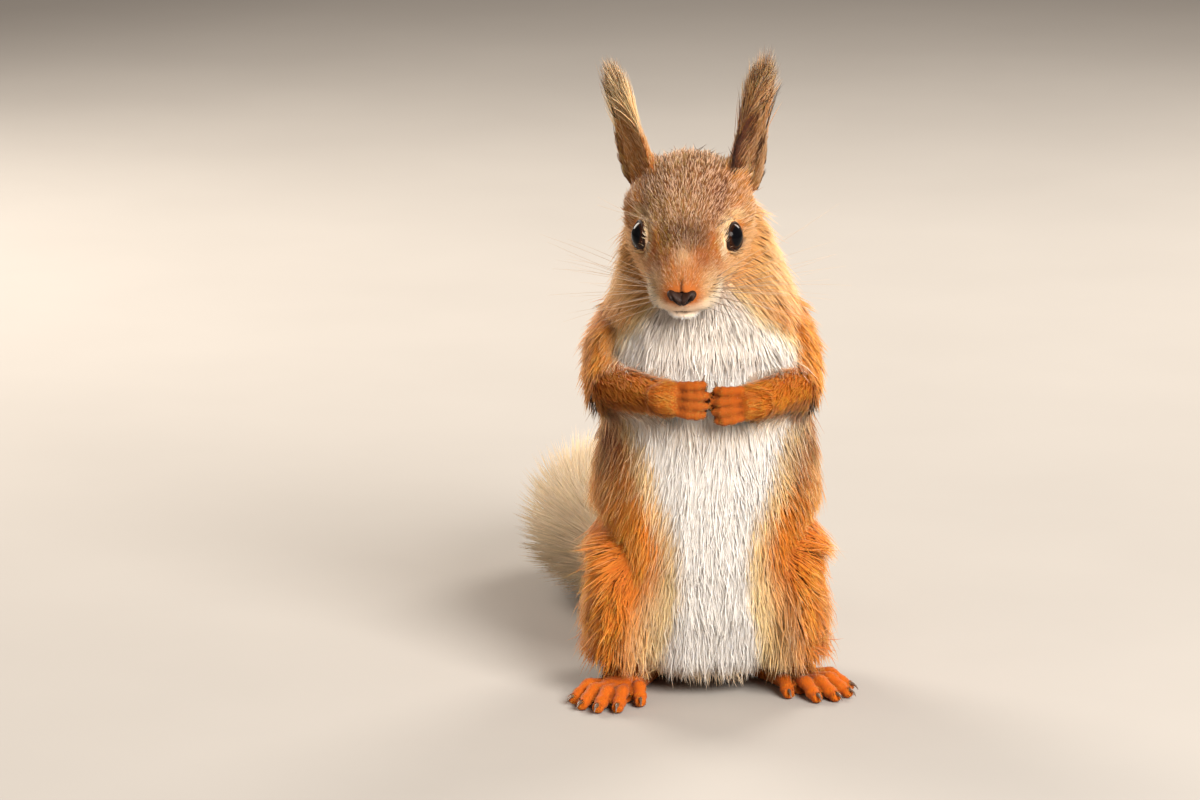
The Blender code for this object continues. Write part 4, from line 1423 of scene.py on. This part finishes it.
def grow_coat(skin, coarse):
    """All the locks of the coat, piece by piece."""
    finish = {"coat_bib": lock_finish("bib_fur", depth=0.003),
              "coat_tail": lock_finish("tail_fur", 0.64, 0.15)}
    fur = lock_finish("fur")
    for seed, (name, (kinds, part, steps, share, slot)) in enumerate(COAT_PIECES.items()):
        roots = Roots(skin, chosen_skin(skin, kinds, part), share, 100 + seed)
        if name == "coat_tail":
            path, clump = tail_paths(roots, steps), TAIL_CLUMP
        else:
            path, clump = lying_paths(roots, steps), CLUMP
        path = settle(gather(path, roots.draw, clump, GATHERS.get(name, GATHER)))
        width = roots.coat[:, 2] * roots.draw.uniform(0.7, 1.25, len(roots))
        seen = path[:, 0] * 0.45 + path[:, -1] * 0.55 + roots.draw.normal(0, 0.5, (len(roots), 3))
        own = pelt(seen, roots.share, roots.side)
        shade = roots.draw.uniform(0, 1, len(roots))
        coat_piece(name, path, width, roots.normal, own, shade, roots.crease_shade,
                   unwrapped(coarse, roots.points), finish.get(name, fur))
    return fur


# ---------------------------------------------------------------- ear tufts
TUFT_LOCKS = 1300
TUFT_STEPS = 3
TUFT_OUTLINE = {"left": ((12, 5.2), (20, 7.0), (28, 9.4), (36, 9.0), (46, 4.6)),
                "right": ((12, 4.6), (20, 5.6), (28, 6.8), (35, 6.8), (43, 4.4))}
TUFT_TOP = {"left": 46.0, "right": 43.0}
TUFT_DEPTH = 0.7            # how deep a tuft is for its width


def ear_tufts(finish, skin, coarse):
    """The long tufts that grow from the upper half of each ear and stand up past its tip."""
    nodes = [f"ear_tuft_{side}" for side in SIDES]
    paths, ups, roots_all, inner = [], [], [], []
    draw = np.random.default_rng(51)
    net = skin.net
    for side, sign in SIDES.items():
        root, axes = ear_frame(side)
        up = axes[:, 2]
        wide_way = unit(np.array((1.0, 0.0, 0.0)) - up * up[0])
        axes = np.column_stack((np.cross(wide_way, up), wide_way, up))
        local = (net.points - root) @ axes
        grow = (skin.kind == KINDS.index("ear")) & (skin.side == sign) & (local[:, 2] > 9)
        ids = np.nonzero(grow)[0]
        weight = step(14, 24, local[ids, 2]) + 0.01
        pick = draw.choice(ids, TUFT_LOCKS, p=weight / weight.sum())
        start = local[pick]
        end_height = start[:, 2] + draw.uniform(9, 21, TUFT_LOCKS)
        end_height = np.minimum(end_height, TUFT_TOP[side] - 10 * draw.uniform(0, 1, TUFT_LOCKS) ** 2)
        height, wide = zip(*TUFT_OUTLINE[side])
        turn = draw.uniform(0, 2 * math.pi, TUFT_LOCKS)
        far = draw.uniform(0, 1, TUFT_LOCKS) ** 0.42 * np.interp(end_height, height, wide)
        end = np.column_stack((np.cos(turn) * far * TUFT_DEPTH, np.sin(turn) * far, end_height))
        end[:, 1] += sign * 0.05 * (end_height - 20)
        end[:, :2] = 0.7 * end[:, :2] + 0.3 * start[:, :2] * (1.0, 1.15)
        bow = start * 0.5 + end * 0.5
        bow[:, :2] = start[:, :2] * 0.9 + end[:, :2] * 0.25
        share = np.linspace(0, 1, TUFT_STEPS + 1)[None, :, None]
        path = ((1 - share) ** 2 * start[:, None] + 2 * share * (1 - share) * bow[:, None]
                + share ** 2 * end[:, None])
        paths.append(path @ axes.T + root)
        ups.append(skin.normals[pick])
        inner.append(step(0.8, -0.4, sign * start[:, 1]) * step(27, 16, start[:, 2]) * (sign > 0))
        roots_all.append(net.points[pick])
    path = gather(np.concatenate(paths), draw, TUFT_CLUMP, 0.3)
    roots = np.concatenate(roots_all)
    count = len(roots)
    tip = draw.uniform(0, 1, count)
    ones = np.ones(count)
    # the right tuft's paleness is painted back light
    pale = np.repeat((0.1, 0.95), TUFT_LOCKS)          # the left tuft is redder, the right one paler
    dark = (0.04 + 0.35 * (tip < 0.3)) * (1 - pale) + 0.75 * np.concatenate(inner)
    marks = {"ginger": 0.3 * ones, "brown": 0.7 - 0.45 * pale, "cream": pale * (0.5 + 0.45 * (tip > 0.4)),
             "white": 0 * ones, "dark": np.clip(dark, 0, 1), "grizzle": 0.35 + 0.1 * pale}
    coat_piece("ear_tufts", path, draw.uniform(0.16, 0.30, count), np.concatenate(ups), marks,
               draw.uniform(0, 1, count), 0 * ones, unwrapped(coarse, roots), finish, nodes)


# ---------------------------------------------------------------- eyes, lids and nose
LID_THICKNESS = 0.42
NOSE_MIDDLE = np.array((0.0, NOSE_BACK, NOSE_HEIGHT + 0.5))
NOSE_SIZE = np.array((4.7, 2.7, 3.2))
NOSE_CLEAR = np.array((4.3, 3.2, 2.9))


def eyes():
    """The eyeballs: glossy, with the iris measured from the way each looks."""
    finish = eye_finish()
    for side in SIDES:
        middle, radius, axis, _, _ = EYES[side]
        points, faces = ball(middle, radius, 64, 44)
        mesh = mesh_from(f"eyeball_{side}", points, faces)
        store(mesh, "iris", np.degrees(np.arccos(np.clip(unit(points - middle) @ axis, -1, 1))) / 75)
        mesh.materials.append(finish)
        ride(show(f"eyeball_{side}", mesh), [f"eye_{side}"])


def eyelids(finish):
    """The bare dark edge of each eye's lids, a thin roll along the opening."""
    turn = np.linspace(0, 2 * math.pi, 96, endpoint=False)
    edge = np.radians(opening_angle(turn) - 0.5)
    for side in SIDES:
        middle, radius, axis, ahead, over = EYES[side]
        flat = np.cos(turn)[:, None] * ahead + np.sin(turn)[:, None] * over
        way = axis * np.cos(edge)[:, None] + flat * np.sin(edge)[:, None]
        path = middle + way * (radius + 0.06)
        along = unit(np.roll(path, -1, 0) - np.roll(path, 1, 0))
        side_way = np.cross(along, way)
        thick = LID_THICKNESS * (1 + 0.35 * np.cos(turn / 2) ** 16)
        ring = np.linspace(0, 2 * math.pi, 10, endpoint=False)[None, :, None]
        points = path[:, None] + (np.cos(ring) * side_way[:, None] * 1.15
                                  + np.sin(ring) * way[:, None] * 0.8) * thick[:, None, None]
        faces = []
        for i in range(96):
            for j in range(10):
                k, n = (i + 1) % 96, (j + 1) % 10
                faces.append((i * 10 + j, i * 10 + n, k * 10 + n, k * 10 + j))
        mesh = closed(mesh_from(f"eyelids_{side}", points.reshape(-1, 3), faces))
        store(mesh, "depth", np.full(len(mesh.vertices), 0.4))
        mesh.materials.append(finish)
        ride(show(f"eyelids_{side}", mesh))


def closed(mesh):
    """Turns a closed mesh's faces outwards."""
    shell = bmesh.new()
    shell.from_mesh(mesh)
    bmesh.ops.recalc_face_normals(shell, faces=shell.faces)
    shell.to_mesh(mesh)
    shell.free()
    return mesh


def nose(finish):
    """The bare nose: broad above and narrow below, with comma nostrils and a groove down its middle."""
    points, faces = ball(np.zeros(3), 1.0, 96, 64)
    x, y, z = points.T
    shape = points.copy()
    shape[:, 0] *= 0.46 + 0.54 * step(-1.0, 0.5, z)
    shape[:, 2] *= 1 - 0.66 * hill(x, 0, 0.85) * (z > 0)
    shape *= NOSE_SIZE
    side, height = np.abs(shape[:, 0]), shape[:, 2]
    front = step(0.1, -0.4, y)
    curl = 2.35 + 0.55 * np.clip(height - 0.1, -1, 1.6)
    slit = hill(side, curl, 0.62) * hill(height, 0.35, 1.5) * front
    pit = hill(side, 2.0, 0.9) * hill(height, -0.55, 0.8) * front
    hole = np.clip(slit + pit, 0, 1)
    groove = hill(side, 0, 0.32) * front
    wing = hill(side, 3.2, 0.7) * hill(height, 0.4, 1.4) * front
    normal = unit(points / NOSE_SIZE)
    shape += normal * (0.30 * wing - 0.95 * hole - 0.32 * groove)[:, None]
    mesh = mesh_from("nose_pad", from_head(shape + NOSE_MIDDLE), faces)
    # painted shade in the nostrils and down the middle groove, and darker towards the bottom
    store(mesh, "depth", np.clip(hole + 0.7 * groove + 0.45 * step(0.2, -1.6, height), 0, 1))
    mesh.materials.append(finish)
    ride(show("nose_pad", mesh), ["nose"])


# ---------------------------------------------------------------- claws and whiskers
def taper_tree():
    """Geometry nodes that turn drawn lines into tapering closed strands."""
    tree = bpy.data.node_groups.new("tapering_strands", "GeometryNodeTree")
    face = tree.interface
    face.new_socket("Geometry", in_out="INPUT", socket_type="NodeSocketGeometry")
    for name, kind, value in (("Root Radius", "Float", 0.0006), ("Tip Share", "Float", 0.12),
                              ("Steps", "Int", 12), ("Sides", "Int", 8)):
        face.new_socket(name, in_out="INPUT", socket_type="NodeSocket" + kind).default_value = value
    face.new_socket("Material", in_out="INPUT", socket_type="NodeSocketMaterial")
    face.new_socket("Geometry", in_out="OUTPUT", socket_type="NodeSocketGeometry")

    def add(kind, sockets=(), **settings):
        node = tree.nodes.new(kind)
        for name, value in settings.items():
            setattr(node, name, value)
        for name, value in dict(sockets).items():
            slot = node.inputs[name]
            if isinstance(value, bpy.types.NodeSocket):
                tree.links.new(value, slot)
            else:
                slot.default_value = value
        return node

    given = add("NodeGroupInput").outputs
    lines = add("GeometryNodeMeshToCurve", {"Mesh": given["Geometry"]})
    even = add("GeometryNodeResampleCurve", {"Curve": lines.outputs[0], "Count": given["Steps"]})
    along = add("GeometryNodeSplineParameter").outputs["Factor"]
    ratio = add("ShaderNodeMapRange", {"Value": along, "To Min": 1.0, "To Max": given["Tip Share"]})
    named = {"Geometry": even.outputs[0], "Name": "share", "Value": along}
    kept = add("GeometryNodeStoreNamedAttribute", named, data_type="FLOAT", domain="POINT")
    radius = add("GeometryNodeSetCurveRadius", {"Curve": kept.outputs[0], "Radius": ratio.outputs[0]})
    sized = {"Resolution": given["Sides"], "Radius": given["Root Radius"]}
    circle = add("GeometryNodeCurvePrimitiveCircle", sized)
    scaled = {"Curve": radius.outputs[0], "Profile Curve": circle.outputs["Curve"], "Fill Caps": True}
    swept = add("GeometryNodeCurveToMesh", scaled)
    if "Scale" in swept.inputs:
        tree.links.new(ratio.outputs[0], swept.inputs["Scale"])
    soft = add("GeometryNodeSetShadeSmooth", {"Geometry": swept.outputs[0]})
    real = add("GeometryNodeRealizeInstances", {"Geometry": soft.outputs[0]})
    done = add("GeometryNodeSetMaterial", {"Geometry": real.outputs[0], "Material": given["Material"]})
    add("NodeGroupOutput", {"Geometry": done.outputs[0]})
    return tree


def strands(name, lines, tree, values):
    """One piece of tapering strands along lines of points, all with the same number of points."""
    lines = np.asarray(lines, float)
    count, places, _ = lines.shape
    index = np.arange(count * places).reshape(count, places)
    pairs = np.stack((index[:, :-1], index[:, 1:]), -1).reshape(-1, 2)
    mesh = bpy.data.meshes.new(name + "_lines")
    mesh.from_pydata(to_row(lines.reshape(-1, 3)).tolist(), pairs.tolist(), [])
    thing = show(name, mesh)
    modifier = thing.modifiers.new("strands", "NODES")
    modifier.node_group = tree
    for item in tree.interface.items_tree:
        if item.in_out == "INPUT" and item.name in values:
            modifier[item.identifier] = values[item.name]
    graph = bpy.context.evaluated_depsgraph_get()
    made = bpy.data.meshes.new_from_object(thing.evaluated_get(graph))
    thing.modifiers.clear()
    thing.data = made
    made.name = name
    bpy.data.meshes.remove(mesh)
    return ride(thing)


def claws(tree):
    """The claws of the fingers and toes, on the lines that the digits give."""
    finish = claw_finish()
    for limb, sides in (("hand", 8), ("foot", 10)):
        lines = [claw_point(digit, np.linspace(-0.12, 1, 9)) for digit in DIGITS if digit.limb == limb]
        strands(f"claws_{limb}s", lines, tree,
                {"Root Radius": CLAW_RADIUS[limb] * MM, "Tip Share": 0.10, "Steps": 9, "Sides": sides,
                 "Material": finish})


WHISKER_ROWS = 4
WHISKERS_IN_ROW = 5
BROW_WHISKERS = 3
WHISKER_RADIUS = 0.075
LONG_WHISKER = 41.0


def whisker_line(start, way, droop, length, points=14):
    """A line that leaves its root one way and droops more and more towards its tip."""
    share = np.linspace(0, 1, points)[:, None]
    return start + way * length * share + droop * length * share ** 2


def whiskers(tree, skin):
    """Whiskers in rows on both pads of the muzzle, and a few over each eye."""
    draw = np.random.default_rng(61)
    head_points = to_head(skin.net.points)
    on_head = skin.kind == KINDS.index("head")
    surface = KDTree(int(on_head.sum()))
    for i, point in enumerate(head_points[on_head].tolist()):
        surface.insert(point, i)
    surface.balance()
    lines = []
    for sign in SIDES.values():
        for row in range(WHISKER_ROWS):
            for i in range(WHISKERS_IN_ROW):
                guess = (sign * (6.2 + 0.6 * i), -20.5 + 1.5 * i, -2.6 - 1.5 * row)
                start = np.array(surface.find(guess)[0])
                length = draw.uniform(17, 30) + 3.4 * i
                way = unit((sign * (0.92 - 0.05 * i), -0.30 + 0.16 * i + 0.05 * row, 0.30 - 0.22 * row)
                           + draw.normal(0, 0.07, 3))
                droop = np.array((0, 0.12, -0.16)) + draw.normal(0, 0.05, 3)
                lines.append(from_head(whisker_line(start, way, droop, length)))
        for i in range(BROW_WHISKERS):
            start = np.array(surface.find((sign * (9.5 + i), -5.0 + 1.5 * i, 9.0))[0])
            way = unit((sign * 0.8, -0.1, 0.75 - 0.2 * i) + draw.normal(0, 0.08, 3))
            droop = np.array((0, 0.15, -0.05))
            lines.append(from_head(whisker_line(start, way, droop, draw.uniform(13, 20))))
    start = np.array(surface.find((8.0, -16.0, -6.5))[0])
    droop = np.array((0.0, 0.10, -0.24))
    lines.append(from_head(whisker_line(start, unit((0.88, 0.30, -0.10)), droop, LONG_WHISKER)))
    values = {"Root Radius": WHISKER_RADIUS * MM, "Tip Share": 0.2, "Steps": 14, "Sides": 5,
              "Material": whisker_finish()}
    strands("whiskers", lines, tree, values)


# ---------------------------------------------------------------- floor, lights and camera
CAMERA_RISE = 13.0          # degrees that the camera looks down
CAMERA_LENS = 200.0
FRAME_WIDTH = 366.0         # the width of the view at the animal, in mm
AIM = Vector((-32.0, 0.0, 0.0))
AIM_HEIGHT = 85.4           # up the view from the ground under the animal to the view's middle


# lamp: where it stands in mm, its energy in watts, colour and width in metres
LAMPS = {
    "key": ((470, -860, 660), 26.0, (1.0, 0.94, 0.86), 0.6),
    "rim": ((520, 760, 640), 9.0, (1.0, 0.92, 0.82), 0.5),
    "back": ((-560, 720, 520), 10.0, (1.0, 0.90, 0.78), 0.5),
    "fill": ((-800, -620, 420), 1.0, (1.0, 0.88, 0.76), 0.9),
}
LAMPS_AIM = (0, 0, 90)
SURROUND_COLOUR = (1.0, 0.84, 0.70, 1.0)
SURROUND_STRENGTH = 0.36
FLOOR_HALF = 6000.0


def floor():
    """A wide flat floor under the feet."""
    half = FLOOR_HALF
    corners = [(-half, -half, 0), (half, -half, 0), (half, half, 0), (-half, half, 0)]
    mesh = mesh_from("floor", np.array(corners), [(0, 1, 2, 3)])
    mesh.materials.append(floor_finish())
    show("floor", mesh)


def studio():
    """Four round lamps that aim at the animal's middle, and a warm, even surround."""
    for name, (place, energy, colour, size) in LAMPS.items():
        lamp = bpy.data.lights.new(name, "AREA")
        lamp.energy, lamp.color, lamp.shape, lamp.size = energy, colour, "DISK", size
        thing = show(name, lamp)
        thing.location = to_row(place)
        way = Vector(to_row(LAMPS_AIM)) - thing.location
        thing.rotation_euler = way.to_track_quat("-Z", "Y").to_euler()
    world = bpy.data.worlds.new("studio")
    world.use_nodes = True
    surround = world.node_tree.nodes["Background"].inputs
    surround["Color"].default_value = SURROUND_COLOUR
    surround["Strength"].default_value = SURROUND_STRENGTH
    bpy.context.scene.world = world
    bpy.context.scene.view_settings.view_transform = "Standard"


def camera():
    """A long lens, a little above the animal and straight in front of it."""
    rise = math.radians(CAMERA_RISE)
    data = bpy.data.cameras.new("camera")
    data.lens, data.sensor_width = CAMERA_LENS, 36.0
    thing = show("camera", data)
    forward = Vector((0, math.cos(rise), -math.sin(rise)))
    up = Vector((0, math.sin(rise), math.cos(rise)))
    place = AIM + up * AIM_HEIGHT - forward * FRAME_WIDTH * CAMERA_LENS / 36.0
    thing.location = to_row(place)
    thing.rotation_euler = (math.radians(90 - CAMERA_RISE), 0, 0)
    bpy.context.scene.camera = thing


# ---------------------------------------------------------------- the whole animal
def skin_piece(skin):
    """Shows the skin, finest on the head, ears, hands and feet. Gives a plain copy of it to unwrap."""
    fine, count = skin.mesh, skin.net.count
    fine.vertices.foreach_set("co", to_row(skin.net.points).astype(np.float32).ravel())
    fine.polygons.foreach_set("use_smooth", np.ones(len(fine.polygons), bool))
    store_pelt(fine, skin.marks, np.full(count, 0.35), np.full(count, 0.5), skin.crease_shade)
    whole = show("skin_whole", fine)
    detail = whole.vertex_groups.new(name="detail")
    fineness = sum(skin.share[:, KINDS.index(k)] for k in ("head", "hand", "foot", "ear"))
    for level in (0.3, 0.6, 1.0):
        chosen = np.nonzero((fineness >= level - 0.15) & (fineness < level + 0.25))[0]
        detail.add(chosen.tolist(), level, "REPLACE")
    thinned = {"decimate_type": "COLLAPSE", "use_collapse_triangulate": True}
    full = len(skin.net.triangles)
    kept = with_modifier(whole, "DECIMATE", ratio=SKIN_TRIANGLES / full, vertex_group="detail",
                         invert_vertex_group=True, vertex_group_factor=1.0, **thinned)
    coarse = with_modifier(whole, "DECIMATE", ratio=COARSE_TRIANGLES / full, **thinned)
    bpy.data.objects.remove(whole)
    kept.materials.append(skin_finish())
    ride(show("skin", kept), FLESH)
    return coarse


def dress():
    """Makes every piece of the animal."""
    skin = Skin()
    coarse = skin_piece(skin)
    fur = grow_coat(skin, coarse)
    ear_tufts(fur, skin, coarse)
    eyes()
    bare = bare_finish("bare_skin", tone(38, 20, 12), tone(6, 4, 4), 0.42)
    eyelids(bare)
    nose(bare)
    tree = taper_tree()
    claws(tree)
    whiskers(tree, skin)


floor()
camera()
studio()
dress()
